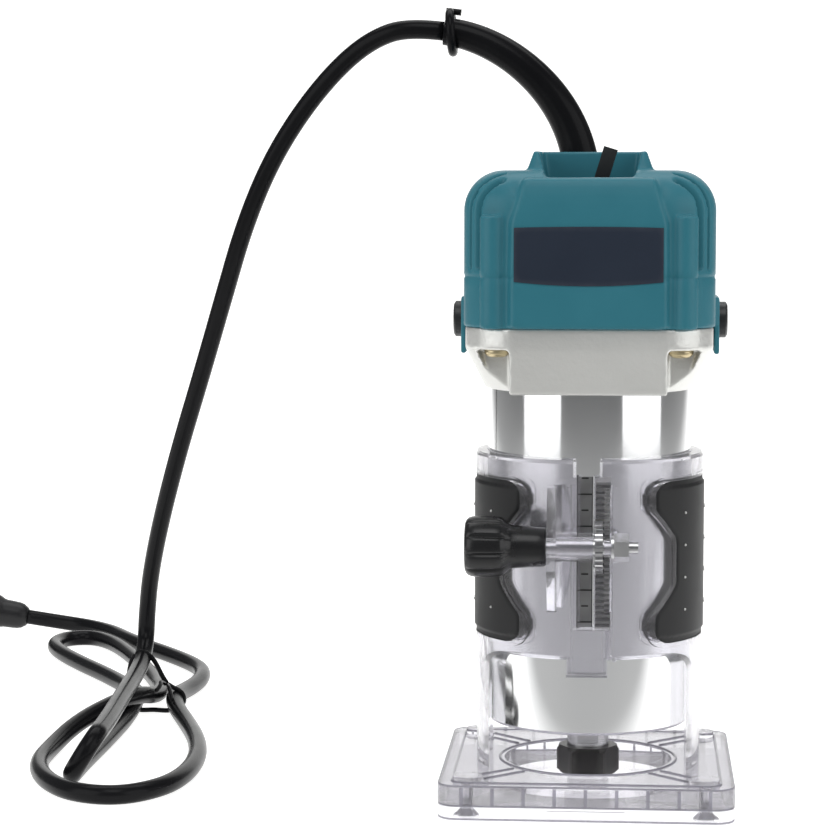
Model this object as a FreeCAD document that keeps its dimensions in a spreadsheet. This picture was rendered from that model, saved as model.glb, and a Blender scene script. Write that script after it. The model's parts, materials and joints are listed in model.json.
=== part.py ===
import FreeCAD, Part
import Sketcher
import math
import os
from types import SimpleNamespace

Vector = FreeCAD.Vector
os.makedirs("parts", exist_ok=True)

# Sizes
# Every driving dimension of the router, in millimetres and degrees.
dimensions = {
    # clear base
    "base_side": 91.9, "base_corner": 6.0, "protector_thick": 4.6, "plate_thick": 6.4,
    "plate_opening": 27.0, "protector_opening": 17.0, "base_screw_pitch": 74.0,
    "base_screw_radius": 2.0, "base_head_radius": 3.9, "base_screw_deep": 9.4, "guide_pitch": 24.0,
    "tube_radius": 36.0, "tube_top": 111.4, "window_top": 49.0, "window_half": 31.3,
    "window_corner": 6.0, "split_half": 2.2, "notch_half": 4.6, "notch_floor": 106.0,
    "split_floor": 59.0, "ear_thick": 3.0, "ear_left": -12.4, "ear_right": 5.3,
    "ear_reach": 46.5, "ear_low": 66.0, "ear_high": 103.0, "boss_radius": 4.6,
    # rubber grips
    "grip_low": 53.0, "grip_high": 104.0, "grip_end_half": 29.5, "grip_waist_half": 23.5,
    "grip_proud": 0.8, "grip_depth": 2.0,
    # pinion, knob and nut
    "shaft_height": 84.7, "shaft_reach": 38.6, "shaft_radius": 2.9, "gear_module": 0.6,
    "gear_teeth": 25.0, "gear_left": 2.5, "gear_wide": 2.4, "knob_radius": 9.5,
    "knob_end": -37.7, "grip_end": -26.0, "cone_end": -23.8, "collar_end": -12.6,
    "collar_radius": 6.6, "knob_flute": 1.1, "knob_flutes": 10.0, "thread_radius": 2.0,
    "thread_end": 15.7, "nut_half": 3.9, "nut_thick": 4.6, "washer_radius": 4.4,
    "washer_thick": 0.8,
    # motor barrel
    "barrel_radius": 32.5, "barrel_bore": 28.6, "barrel_low": 24.4, "barrel_high": 136.0,
    "slide_gap": 0.3, "floor_thick": 3.0, "nose_hole": 7.4, "rack_left": 2.4, "rack_wide": 4.6,
    "rack_low": 58.0, "rack_high": 106.0, "scale_left": -3.2, "scale_wide": 4.8,
    "scale_deep": 31.9, "scale_thick": 0.4, "tick_pitch": 5.0,
    # casting and head
    "cast_low": 131.5, "cast_bend": 142.6, "cast_high": 152.0, "cast_half": 38.6,
    "cast_corner": 16.0, "cast_wall": 4.0, "screw_pitch": 57.0, "screw_radius": 2.0,
    "screw_head": 4.0, "screw_head_thick": 3.0, "screw_long": 19.0,
    "head_half": 39.2, "head_corner": 18.0, "head_top": 200.6, "head_round": 12.5,
    "head_wall": 2.5, "tower_top": 206.6, "tower_half": 17.6, "tower_foot": 22.0,
    "well_half": 15.4, "well_floor": 190.5, "notch_height": 198.2, "vent_low": 170.0,
    "vent_wide": 1.6, "brush_height": 153.2, "cap_radius": 5.75, "cap_end": 43.6,
    "ear_half": 9.5, "ear_out": 40.9, "label_half": 23.0, "label_low": 166.5,
    "label_high": 183.6, "label_thick": 0.5, "hood_reach": 40.4, "hood_half": 23.5,
    # motor insides
    "stator_low": 70.0, "stator_high": 118.0, "stator_bore": 17.6, "coil_reach": 10.0,
    "air_gap": 0.6, "fan_low": 42.0, "fan_high": 51.0, "fan_radius": 24.5, "commutator_radius": 11.0,
    "commutator_low": 145.0, "commutator_high": 161.5, "lower_ring": 14.0, "lower_bore": 6.0,
    "lower_wide": 8.0, "upper_ring": 9.5, "upper_bore": 3.5, "upper_wide": 6.0,
    "upper_seat": 165.0, "run_gap": 0.4, "brush_wide": 6.0, "brush_tall": 8.0,
    "brush_long": 13.0, "brush_gap": 0.3,
    # collet
    "spindle_radius": 6.7, "spindle_low": 13.6, "collet_bore": 3.175, "nut_low": 6.4,
    "nut_high": 15.4, "nut_across": 19.0, "collet_radius": 5.0,
    # switch
    "lever_pivot": 187.0, "lever_lean": 17.0, "lever_top": 208.6, "lever_wide": 4.5,
    "lever_deep": 9.0, "lever_pin": 1.5,
    # cord
    "cord_radius": 3.15, "guard_foot": 6.2, "guard_tip": 4.55, "tie_wire": 1.5,
}

doc = FreeCAD.newDocument("trim_router")
sheet = doc.addObject("Spreadsheet::Sheet", "sizes")
for row, (word, number) in enumerate(dimensions.items(), 1):
    sheet.set(f"A{row}", word)
    sheet.set(f"B{row}", str(number))
    sheet.setAlias(f"B{row}", word)
doc.recompute()


class Size:
    """A length together with the sheet expression that gives it."""

    def __init__(self, value, text):
        self.value = value
        self.text = text

    def __add__(self, other):
        other = sized(other)
        return Size(self.value + other.value, f"({self.text} + {other.text})")

    def __sub__(self, other):
        other = sized(other)
        return Size(self.value - other.value, f"({self.text} - {other.text})")

    def __mul__(self, other):
        other = sized(other)
        return Size(self.value * other.value, f"({self.text} * {other.text})")

    def __truediv__(self, other):
        other = sized(other)
        return Size(self.value / other.value, f"({self.text} / {other.text})")

    def __neg__(self):
        return Size(-self.value, f"(0 - {self.text})")

    def __radd__(self, other):
        return sized(other) + self

    def __rsub__(self, other):
        return sized(other) - self

    __rmul__ = __mul__


def sized(thing):
    return thing if isinstance(thing, Size) else Size(float(thing), f"({float(thing)!r})")


def number(thing):
    return sized(thing).value


def root(thing):
    return Size(math.sqrt(thing.value), f"sqrt({thing.text})")


d = SimpleNamespace(**{word: Size(value, f"sizes.{word}") for word, value in dimensions.items()})

# Shape helpers
turns = {
    "z": FreeCAD.Rotation(),
    "x": FreeCAD.Rotation(Vector(0, 1, 0), 90),
    "y": FreeCAD.Rotation(Vector(1, 0, 0), -90),
}
nodes = {}
helper_count = [0]


def label_for(name):
    if name:
        return name
    helper_count[0] += 1
    return f"step_{helper_count[0]}"


def bind(thing, prop, value):
    thing.setExpression(prop, sized(value).text)


def place(thing, x, y, z, turn=None):
    thing.Placement = FreeCAD.Placement(Vector(), turn or FreeCAD.Rotation())
    for letter, value in zip("xyz", (x, y, z)):
        bind(thing, f"Placement.Base.{letter}", value)
    return thing


def made(kind, name=None):
    name = label_for(name)
    thing = doc.addObject(kind, name)
    thing.Label = name
    return thing


def rod(radius, start, end, across=(0, 0), axis="z", name=None):
    """A cylinder from start to end along an axis, centred at the two other coordinates."""
    thing = made("Part::Cylinder", name)
    bind(thing, "Radius", radius)
    bind(thing, "Height", sized(end) - start)
    spot = list(across)
    spot.insert("xyz".index(axis), start)
    return place(thing, *spot, turns[axis])


def cone(foot, tip, start, end, across=(0, 0), axis="z", name=None):
    thing = made("Part::Cone", name)
    bind(thing, "Radius1", foot)
    bind(thing, "Radius2", tip)
    bind(thing, "Height", sized(end) - start)
    spot = list(across)
    spot.insert("xyz".index(axis), start)
    return place(thing, *spot, turns[axis])


def block(x, y, z, name=None):
    """A box between pairs of limits."""
    thing = made("Part::Box", name)
    for prop, (low, high) in zip(("Length", "Width", "Height"), (x, y, z)):
        bind(thing, prop, sized(high) - low)
    return place(thing, x[0], y[0], z[0])


def cut(base, *tools, name=None):
    thing = made("Part::Cut", name)
    thing.Base = base
    thing.Tool = tools[0] if len(tools) == 1 else fuse(*tools)
    return thing


def fuse(*parts, name=None):
    thing = made("Part::MultiFuse", name)
    thing.Shapes = list(parts)
    return thing


def common(*parts, name=None):
    thing = made("Part::MultiCommon", name)
    thing.Shapes = list(parts)
    return thing


def group(*parts, name):
    """Separate solids that share one node."""
    thing = made("Part::Compound", name)
    thing.Links = list(parts)
    return thing


def tube(outer, inner, start, end, across=(0, 0), axis="z", name=None):
    return cut(rod(outer, start, end, across, axis), rod(inner, start, end, across, axis), name=name)


def hexagon(half, start, end, across=(0, 0), axis="z", name=None):
    """A hexagonal bar with half its distance across flats."""
    thing = made("Part::Prism", name)
    thing.Polygon = 6
    bind(thing, "Circumradius", sized(half) * (2 / math.sqrt(3)))
    bind(thing, "Height", sized(end) - start)
    spot = list(across)
    spot.insert("xyz".index(axis), start)
    return place(thing, *spot, turns[axis])


def sketch_on(body, role, points, offset=0):
    """A closed outline of straight lines whose corners are bound to the sheet."""
    sketch = body.newObject("Sketcher::SketchObject", f"{body.Name}_outline")
    plane = [part for part in body.Origin.OriginFeatures if part.Role == role][0]
    sketch.AttachmentSupport = [(plane, "")]
    sketch.MapMode = "FlatFace"
    bind(sketch, "AttachmentOffset.Base.z", offset)
    flat = [Vector(number(u), number(v)) for u, v in points]
    for index, point in enumerate(flat):
        sketch.addGeometry(Part.LineSegment(point, flat[(index + 1) % len(flat)]), False)
    for index in range(len(flat)):
        following = (index + 1) % len(flat)
        sketch.addConstraint(Sketcher.Constraint("Coincident", index, 2, following, 1))
    for index, pair in enumerate(points):
        for kind, value in zip(("DistanceX", "DistanceY"), pair):
            spot = sketch.addConstraint(Sketcher.Constraint(kind, -1, 1, index, 1, number(value)))
            bind(sketch, f"Constraints[{spot}]", value)
    return sketch


def turned(points, name=None, line="V_Axis"):
    """A body turned about Z (V_Axis) or X (H_Axis) from (radius, height) or (x, radius) points."""
    body = made("PartDesign::Body", name)
    sketch = sketch_on(body, "XZ_Plane", points)
    turning = body.newObject("PartDesign::Revolution", f"{body.Name}_turning")
    turning.Profile = sketch
    turning.ReferenceAxis = (sketch, [line])
    turning.Angle = 360
    body.Tip = turning
    return body


def edges_where(shape, test):
    return [f"Edge{index}" for index, edge in enumerate(shape.Edges, 1) if test(edge)]


def padded(points, start, end, role="XY_Plane", name=None, fillets=()):
    """A body padded from start to end, with fillets given as (radius, edge test) pairs."""
    body = made("PartDesign::Body", name)
    sketch = sketch_on(body, role, points, start)
    pad = body.newObject("PartDesign::Pad", f"{body.Name}_pad")
    pad.Profile = sketch
    bind(pad, "Length", sized(end) - start)
    body.Tip = pad
    for radius, test in fillets:
        doc.recompute()
        plain = body.Tip
        rounding = body.newObject("PartDesign::Fillet", f"{body.Name}_round")
        rounding.Base = (plain, edges_where(plain.Shape, test))
        bind(rounding, "Radius", radius)
        body.Tip = rounding
    return body


def square(half):
    return [(-half, -half), (half, -half), (half, half), (-half, half)]


def upright(edge):
    return isinstance(edge.Curve, Part.Line) and abs(edge.tangentAt(edge.FirstParameter).z) > 0.99


def level_at(height):
    return lambda edge: all(abs(v.Z - number(height)) < 0.01 for v in edge.Vertexes)


def feature(shape, name=None):
    thing = made("Part::Feature", name)
    thing.Shape = shape
    thing.Placement = FreeCAD.Placement()
    return thing


def node(name, body, thing):
    """Hands a finished sub-part over under its node name."""
    thing.Label = name
    nodes[name] = (body, thing)
    return thing


def mirrored(thing, name):
    other = made("Part::Mirroring", name)
    other.Source = thing
    other.Base = Vector()
    other.Normal = Vector(1, 0, 0)
    return other


def chord(radius, offset):
    """Half the chord of a circle at an offset from its centre."""
    return root(radius * radius - sized(offset) * offset)


# Clear base
plate_top = d.protector_thick + d.plate_thick
tube_bore = d.barrel_radius + d.slide_gap
shaft_spot = (-d.shaft_reach, d.shaft_height)
base_spots = [(sx * d.base_screw_pitch / 2, sy * d.base_screw_pitch / 2) for sx in (-1, 1) for sy in (-1, 1)]
pinion_radius = d.gear_module * d.gear_teeth / 2
pinion_tip = pinion_radius + d.gear_module
gear_right = d.gear_left + d.gear_wide
ear_right_end = d.ear_right + d.ear_thick * 0.73


def clamp_ear(left, right):
    outline = [
        (-tube_bore, d.ear_low), (-d.tube_radius, d.ear_low - 2), (-d.ear_reach, d.shaft_height - 6.5),
        (-d.ear_reach, d.shaft_height + 6.5), (-d.tube_radius - 1.5, d.ear_high),
        (-chord(tube_bore, d.ear_left) - 0.6, d.ear_high),
        (-chord(tube_bore, d.ear_left) - 0.6, d.ear_low),
    ]
    return padded(outline[1:], left, right, role="YZ_Plane")


def base_housing():
    plate = padded(square(d.base_side / 2), d.protector_thick, plate_top, fillets=[(d.base_corner, upright)])
    wall = rod(d.tube_radius, d.protector_thick + 1, d.tube_top)
    collar = rod(d.tube_radius + 0.5, d.tube_top - 5.6, d.tube_top - 1.2)
    collar_edge = cone(d.tube_radius + 0.5, d.tube_radius - 0.4, d.tube_top - 1.2, d.tube_top)
    feet = [rod(d.base_screw_radius + 2.6, d.protector_thick, plate_top + 1.6, spot) for spot in base_spots]
    ears = [clamp_ear(d.ear_left, d.ear_left + d.ear_thick), clamp_ear(d.ear_right, ear_right_end)]
    sleeve = rod(d.boss_radius, d.ear_left, d.split_half - 0.4, shaft_spot, "x")
    tongue = block((-d.split_half - 4.2, d.split_half + 4.2), (-d.tube_radius - 2.4, -tube_bore),
                   (d.window_top - 5, d.split_floor))
    ribs = [block((x, x + 1.2), (-d.tube_radius - 1.6, -tube_bore + 1), (d.window_top, d.ear_high))
            for x in (-d.split_half - 4.2, d.split_half + 5.8)]
    lips = [grip_block(sx, d.tube_radius + 0.35, 1.3) for sx in (-1, 1)]
    body = fuse(plate, wall, collar, collar_edge, *feet, *ears, sleeve, tongue, *ribs, *lips)
    window = padded(
        [(-d.window_half, plate_top), (d.window_half, plate_top),
         (d.window_half, d.window_top), (-d.window_half, d.window_top)],
        -d.base_side, d.base_side, role="XZ_Plane",
        fillets=[(d.window_corner, lambda edge: abs(edge.tangentAt(edge.FirstParameter).y) > 0.99
                  and edge.CenterOfMass.z > number(d.window_top) - 1)])
    window_kept = cut(window, block((-d.split_half - 4.2, d.split_half + 4.2), (-d.base_side, -tube_bore),
                                    (d.window_top - 5, d.window_top + 1)))
    cuts = [
        rod(tube_bore, plate_top, d.tube_top + 1),
        rod(d.plate_opening, 0, plate_top + 1),
        window_kept,
        block((-d.split_half, d.split_half), (-d.base_side, 0), (d.split_floor, d.notch_floor + 0.5)),
        block((-d.notch_half, d.notch_half), (-d.base_side, 0), (d.notch_floor, d.tube_top + 1)),
        block((-d.split_half, gear_right + 0.4), (-d.base_side, -tube_bore + 3),
              (d.shaft_height - pinion_tip - 0.5, d.shaft_height + pinion_tip + 0.5)),
        rod(d.collar_radius + 0.5, d.knob_end, d.ear_left, shaft_spot, "x"),
        rod(d.washer_radius + 0.7, ear_right_end, d.thread_end + 1, shaft_spot, "x"),
    ]
    cuts += [rod(d.base_screw_radius + 0.02, 0, d.base_screw_deep + 0.6, spot) for spot in base_spots]
    cuts += [grip_block(sx, d.tube_radius + 2, 0) for sx in (-1, 1)]
    opened = cut(body, *cuts)
    sleeve_back = rod(d.boss_radius, d.ear_left, d.split_half - 0.4, shaft_spot, "x")
    joined = fuse(opened, cut(sleeve_back, rod(d.tube_radius, 0, d.tube_top)))
    return cut(joined, rod(d.shaft_radius + 0.05, d.ear_left - 1, ear_right_end + 1, shaft_spot, "x"))


def grip_block(side, radius, margin):
    """The hourglass patch of the tube's wall that a grip fills, seen along X."""
    middle = (d.grip_low + d.grip_high) / 2
    ends = d.grip_end_half + margin
    waist = d.grip_waist_half + margin
    low, high = d.grip_low - margin, d.grip_high + margin
    quarter = (high - low) / 4
    left = [(-ends, low), (-ends, low + quarter * 0.7), (-waist, middle - quarter * 0.55),
            (-waist, middle + quarter * 0.55), (-ends, high - quarter * 0.7), (-ends, high)]
    right = [(-u, v) for u, v in reversed(left)]
    start, end = (-d.tube_radius - 4, -5) if side < 0 else (5, d.tube_radius + 4)
    patch = padded([(u, v) for u, v in right + left], start, end, role="YZ_Plane",
                   fillets=[(4.0, lambda edge: abs(edge.tangentAt(edge.FirstParameter).x) > 0.99)])
    inner = d.tube_radius + d.grip_proud - d.grip_depth
    return common(patch, tube(radius, inner, d.grip_low - 4, d.grip_high + 4))


def base_protector():
    plate = padded(square(d.base_side / 2), 0, d.protector_thick, fillets=[(d.base_corner, upright)])
    holes = [rod(d.protector_opening, -1, d.protector_thick + 1)]
    holes += [rod(d.base_screw_radius + 0.02, -1, d.protector_thick + 1, spot) for spot in base_spots]
    holes += [cone(d.base_head_radius + 0.02, d.base_screw_radius + 0.02, 0.6, 2.6, spot)
              for spot in base_spots]
    holes += [rod(d.base_head_radius + 0.02, -1, 0.6, spot) for spot in base_spots]
    holes += [block((-d.guide_pitch / 2, d.guide_pitch / 2), (-d.base_side, -d.base_side / 2 + 1.2), (1, 3.4))]
    return cut(plate, *holes)


def base_screw(spot):
    head = cone(d.base_head_radius, d.base_screw_radius, 0.6, 2.6, spot)
    slot = fuse(block((spot[0] - 2, spot[0] + 2), (spot[1] - 0.4, spot[1] + 0.4), (0, 1.5)),
                block((spot[0] - 0.4, spot[0] + 0.4), (spot[1] - 2, spot[1] + 2), (0, 1.5)))
    return cut(fuse(head, rod(d.base_screw_radius, 2.5, d.base_screw_deep, spot)), slot)


node("base_housing", "base", base_housing())
node("base_protector", "base", base_protector())
node("base_screws", "base", group(*[base_screw(spot) for spot in base_spots], name="base_screws"))
grip = grip_block(1, d.tube_radius + d.grip_proud, 0)
node("grip_right", "base", grip)
node("grip_left", "base", mirrored(grip, "grip_left"))

# Depth pinion and knob
teeth = int(dimensions["gear_teeth"])


def rack_gap(angle):
    """The space between two pinion teeth, turned to its angle about the shaft."""
    half_root = pinion_radius.value * math.pi / teeth / 2 * 0.88
    half_tip = half_root * 2
    inner = pinion_radius.value - 1.25 * dimensions["gear_module"]
    outer = pinion_tip.value + 0.3
    corners = [(inner, -half_root), (outer, -half_tip), (outer, half_tip), (inner, half_root)]
    points = []
    for radial, side in corners:
        y = -number(d.shaft_reach) + radial * math.cos(angle) - side * math.sin(angle)
        z = number(d.shaft_height) + radial * math.sin(angle) + side * math.cos(angle)
        points.append(Vector(number(d.gear_left) - 1, y, z))
    face = Part.Face(Part.makePolygon(points + points[:1]))
    return face.extrude(Vector(number(d.gear_wide) + 2, 0, 0))


def pinion_shaft():
    blank = rod(pinion_tip, d.gear_left, gear_right, shaft_spot, "x")
    gaps = feature(Part.makeCompound([rack_gap((index + 0.5) * 2 * math.pi / teeth)
                                      for index in range(teeth)]))
    gear = cut(blank, gaps)
    shaft = rod(d.shaft_radius, d.knob_end + 4, ear_right_end, shaft_spot, "x")
    thread = rod(d.thread_radius, ear_right_end - 1, d.thread_end, shaft_spot, "x")
    return fuse(gear, shaft, thread)


def depth_knob():
    profile = [
        (d.knob_end, 0), (d.knob_end + 0.5, d.knob_radius - 2.2), (d.knob_end + 1.6, d.knob_radius - 0.4),
        (d.knob_end + 3, d.knob_radius), (d.grip_end, d.knob_radius - 0.3),
        (d.cone_end, d.collar_radius), (d.collar_end, d.collar_radius - 0.6), (d.collar_end, 0),
    ]
    turned_knob = turned(profile, line="H_Axis")
    place(turned_knob, 0, -d.shaft_reach, d.shaft_height)
    count = int(dimensions["knob_flutes"])
    flutes = []
    for index in range(count):
        angle = 2 * math.pi * index / count
        reach = d.knob_radius + d.knob_flute * 0.6
        spot = (-d.shaft_reach + reach * math.cos(angle), d.shaft_height + reach * math.sin(angle))
        flutes.append(rod(d.knob_flute * 1.35, d.knob_end - 1, d.grip_end + 0.6, spot, "x"))
    bore = rod(d.shaft_radius, d.knob_end + 4, d.collar_end + 1, shaft_spot, "x")
    return cut(turned_knob, *flutes, bore)


node("depth_knob", "pinion", depth_knob())
node("pinion_shaft", "pinion", pinion_shaft())
node("lock_washer", "pinion", tube(d.washer_radius, d.thread_radius, ear_right_end,
                                   ear_right_end + d.washer_thick, shaft_spot, "x"))
lock_nut = cut(hexagon(d.nut_half, ear_right_end + d.washer_thick, ear_right_end + d.washer_thick + d.nut_thick,
                       shaft_spot, "x"),
               rod(d.thread_radius + 0.02, 0, d.thread_end, shaft_spot, "x"))
node("lock_nut", "lock_nut", lock_nut)

# Barrel with rack and scale
rack_tip = d.shaft_reach - pinion_radius + d.gear_module
rack_root = rack_tip - 2.25 * d.gear_module
rack_floor = rack_root - 0.9
seat_radius = d.lower_ring + 3.2
bearing_low = d.barrel_low + d.floor_thick
bearing_high = bearing_low + d.lower_wide


def barrel():
    profile = [
        (d.nose_hole, d.barrel_low), (d.barrel_radius - 1, d.barrel_low), (d.barrel_radius, d.barrel_low + 1),
        (d.barrel_radius, d.barrel_high), (d.barrel_bore, d.barrel_high), (d.barrel_bore, bearing_low),
        (seat_radius, bearing_low), (seat_radius, bearing_high), (d.lower_ring, bearing_high),
        (d.lower_ring, bearing_low), (d.nose_hole, bearing_low),
    ]
    outer = turned(profile)
    rack_pocket = block((d.rack_left, d.rack_left + d.rack_wide), (-d.barrel_radius - 1, -rack_floor),
                        (d.rack_low, d.rack_high))
    scale_flat = block((d.scale_left, d.scale_left + d.scale_wide), (-d.barrel_radius - 1, -d.scale_deep),
                       (d.rack_low, d.rack_high))
    return cut(outer, rack_pocket, scale_flat)


def gear_rack():
    strip = block((d.rack_left, d.rack_left + d.rack_wide), (-rack_tip, -rack_floor), (d.rack_low, d.rack_high))
    strip = common(strip, rod(d.barrel_radius - 0.02, d.rack_low - 1, d.rack_high + 1))
    pitch = math.pi * dimensions["gear_module"]
    gaps = []
    count = int((dimensions["rack_high"] - dimensions["rack_low"] - 2) / pitch)
    first = -int((dimensions["shaft_height"] - dimensions["rack_low"] - 1.5) / pitch)
    x_low, x_high = number(d.rack_left) - 1, number(d.rack_left + d.rack_wide) + 1
    for index in range(first, first + count):
        middle = dimensions["shaft_height"] + index * pitch
        root_half, tip_half = pitch * 0.17, pitch * 0.38
        corners = [
            Vector(x_low, -number(rack_root), middle - root_half),
            Vector(x_low, -number(rack_tip) - 0.2, middle - tip_half),
            Vector(x_low, -number(rack_tip) - 0.2, middle + tip_half),
            Vector(x_low, -number(rack_root), middle + root_half),
        ]
        face = Part.Face(Part.makePolygon(corners + corners[:1]))
        gaps.append(face.extrude(Vector(x_high - x_low, 0, 0)))
    return cut(strip, feature(Part.makeCompound(gaps)))


def depth_scale():
    right = d.scale_left + d.scale_wide
    strip = block((d.scale_left, right), (-d.scale_deep - d.scale_thick, -d.scale_deep),
                  (d.rack_low, d.rack_high))
    ticks = []
    count = int((dimensions["rack_high"] - dimensions["rack_low"]) / dimensions["tick_pitch"])
    for index in range(count):
        height = d.rack_low + 2.5 + d.tick_pitch * index
        inset = 0.0 if index % 2 else 1.3
        ticks.append(block((d.scale_left + inset, right - inset), (-d.scale_deep - 1, -d.scale_deep - 0.25),
                           (height, height + 0.45)))
    return cut(strip, *ticks)


node("barrel", "motor", barrel())
node("gear_rack", "motor", gear_rack())
node("depth_scale", "motor", depth_scale())

# Casting and head
screw_spots = [(sx * d.screw_pitch / 2, sy * d.screw_pitch / 2) for sx in (-1, 1) for sy in (-1, 1)]
screw_high = d.cast_bend + d.screw_long


def rounded_wire(half, corner, height):
    """A rounded square of eight edges at a height."""
    half, corner, height = number(half), number(corner), number(height)
    mid = half - corner
    edges = []
    for quarter in range(4):
        angle = quarter * math.pi / 2
        spin = FreeCAD.Rotation(Vector(0, 0, 1), math.degrees(angle))
        start = spin.multVec(Vector(half, -mid, 0))
        end = spin.multVec(Vector(half, mid, 0))
        centre = spin.multVec(Vector(mid, mid, 0))
        far = spin.multVec(Vector(mid, half, 0))
        bend = centre + spin.multVec(Vector(corner, corner, 0)) * (1 / math.sqrt(2))
        lift = Vector(0, 0, height)
        edges.append(Part.LineSegment(start + lift, end + lift).toShape())
        edges.append(Part.Arc(end + lift, bend + lift, far + lift).toShape())
    return Part.Wire(edges)


def upper_bracket():
    screw_edge = d.screw_pitch / 2 + d.screw_head
    slab_half = d.screw_pitch / 2 - d.screw_head - 0.2
    skirt = feature(Part.makeLoft([
        rounded_wire(d.barrel_radius + 0.9, d.barrel_radius + 0.4, d.cast_low),
        rounded_wire(d.cast_half, d.cast_corner, d.cast_bend),
    ], True, True))
    band = padded(square(d.cast_half), d.cast_bend, d.cast_high, fillets=[(d.cast_corner, upright)])
    slab = padded([(-d.cast_half, d.cast_high), (-d.cast_half, d.cast_bend), (-d.cast_half + 1.4, d.cast_low),
                   (d.cast_half - 1.4, d.cast_low), (d.cast_half, d.cast_bend), (d.cast_half, d.cast_high)],
                  -slab_half, slab_half, role="YZ_Plane")
    whole = fuse(skirt, band, slab)
    cuts = [rod(d.barrel_radius, d.cast_low - 1, d.barrel_high),
            rod(d.barrel_bore, d.barrel_high - 1, d.cast_high + 1)]
    for side in (-1, 1):
        corners = [(side * slab_half, d.cast_bend), (side * (screw_edge + 2.2), d.cast_bend),
                   (side * (screw_edge - 3.8), d.cast_low - 1), (side * slab_half, d.cast_low - 1)]
        cuts += [padded(corners, *limits, role="XZ_Plane")
                 for limits in ((slab_half, d.cast_half + 1), (-d.cast_half - 1, -slab_half))]
    cuts += [rod(d.screw_radius + 0.02, d.cast_bend - 1, d.cast_high + 1, spot) for spot in screw_spots]
    cuts += [block(limits, (-d.ear_half, d.ear_half), (d.brush_height - d.cap_radius - 1.5, d.cast_high + 1))
             for limits in ((-d.cast_half - 1, -d.barrel_bore + 1), (d.barrel_bore - 1, d.cast_half + 1))]
    return cut(whole, *cuts)


def dome(half, corner, low, high, rounding):
    return padded(square(half), low, high, fillets=[(corner, upright), (rounding, level_at(high))])


def head_outside():
    shell = dome(d.head_half, d.head_corner, d.cast_high, d.head_top, d.head_round)
    tower = feature(Part.makeLoft([
        rounded_wire(d.tower_foot + 0.6, 3.0, d.head_top - 8),
        rounded_wire(d.tower_half, 1.6, d.tower_top),
    ], True, True))
    hood_top = d.notch_height
    hood = padded(
        [(-d.hood_reach, d.cast_high), (-d.hood_reach, d.label_high + 1.5), (-d.hood_reach + 5, d.label_high + 7),
         (-d.tower_half, hood_top), (0, hood_top), (0, d.cast_high)],
        -d.hood_half, d.hood_half, role="YZ_Plane",
        fillets=[(3.0, lambda edge: edge.CenterOfMass.y < -30 and edge.CenterOfMass.z < number(d.label_high)
                  and abs(edge.tangentAt(edge.FirstParameter).z) > 0.9)])
    ribs = [rod(4.0, d.cast_high, d.label_high + 3, (sx * 29.5, sy * (d.head_half - 3))) for sx in (-1, 1)
            for sy in (-1, 1)]
    ears = [block(limits, (-d.ear_half, d.ear_half), (d.cast_bend, d.brush_height + 7.4))
            for limits in ((-d.ear_out, -d.head_half + 0.8), (d.head_half - 0.8, d.ear_out))]
    tabs = [block(limits, (-d.ear_half + 0.3, d.ear_half - 0.3), (d.cast_high - 0.5, d.brush_height + 7.4))
            for limits in ((-d.head_half, -d.head_half + 5), (d.head_half - 5, d.head_half))]
    return fuse(shell, tower, hood, *ribs, *ears, *tabs)


def head_cover():
    cavity = cut(
        dome(d.head_half - d.head_wall, d.head_corner - d.head_wall, d.cast_high, d.head_top - d.head_wall,
             d.head_round - d.head_wall),
        block((-d.tower_half, d.tower_half), (-d.tower_half, d.tower_half), (d.well_floor - 2, d.tower_top)))
    well = feature(Part.makeLoft([
        rounded_wire(d.well_half - 2, 1.0, d.well_floor), rounded_wire(d.well_half, 1.0, d.tower_top + 0.01),
    ], True, True))
    front_gap = padded(
        [(-d.well_half - 1, d.tower_top + 1), (-d.well_half + 1.6, d.notch_height),
         (d.well_half - 1.6, d.notch_height), (d.well_half + 1, d.tower_top + 1)],
        5, d.hood_reach + 2, role="XZ_Plane")
    posts = [cut(rod(5.6, d.cast_high, screw_high + 2.5, spot), rod(d.screw_radius, 0, screw_high, spot))
             for spot in screw_spots]
    seat = cut(
        fuse(rod(d.upper_ring + 3, d.upper_seat, d.upper_seat + d.upper_wide + 2),
             block((-d.head_half + 1, d.head_half - 1), (-3, 3),
                   (d.upper_seat + 1, d.upper_seat + d.upper_wide + 2))),
        rod(d.upper_ring, 0, d.upper_seat + d.upper_wide), rod(d.upper_bore + 1.5, 0, d.well_floor))
    holder_hole = [rod(d.cap_radius - 0.4, *limits, (0, d.brush_height), "x")
                   for limits in ((-d.cap_end - 1, -d.barrel_bore), (d.barrel_bore, d.cap_end + 1))]
    cap_recess = [rod(d.cap_radius + 0.02, *limits, (0, d.brush_height), "x")
                  for limits in ((-d.cap_end - 1, -d.ear_out + 1.5), (d.ear_out - 1.5, d.cap_end + 1))]
    vents = [block(limits, (y - d.vent_wide / 2, y + d.vent_wide / 2), (d.vent_low, d.tower_top))
             for limits in ((-d.head_half - 1, -25.5), (25.5, d.head_half + 1)) for y in vent_rows]
    lever_slot = block((-9.5, 9.5), (-d.lever_deep / 2 - 0.5, d.lever_deep / 2 + 0.5),
                       (d.well_floor - 3, d.well_floor + 1))
    guard_hole = rod(d.guard_foot + 0.02, d.head_top - 8, d.head_top + 4, (guard_x, guard_y))
    body = cut(head_outside(), cavity, well, front_gap, *vents)
    body = fuse(body, *posts, common(seat, dome(d.head_half - 1, d.head_corner - 1, d.cast_high, d.head_top - 1,
                                                d.head_round - 1)))
    cap_ears = [block(limits, (-d.ear_half, d.ear_half), (0, d.cast_high))
                for limits in ((-d.head_half + 0.05, -5), (5, d.head_half - 0.05))]
    return cut(body, *holder_hole, *cap_recess, lever_slot, guard_hole, *cap_ears)


guard_x = -3.4
guard_y = 28.5
vent_rows = [side * row for side in (-1, 1) for row in (33.4, 30.0, 22.5, 17.5, 12.5)]


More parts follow.
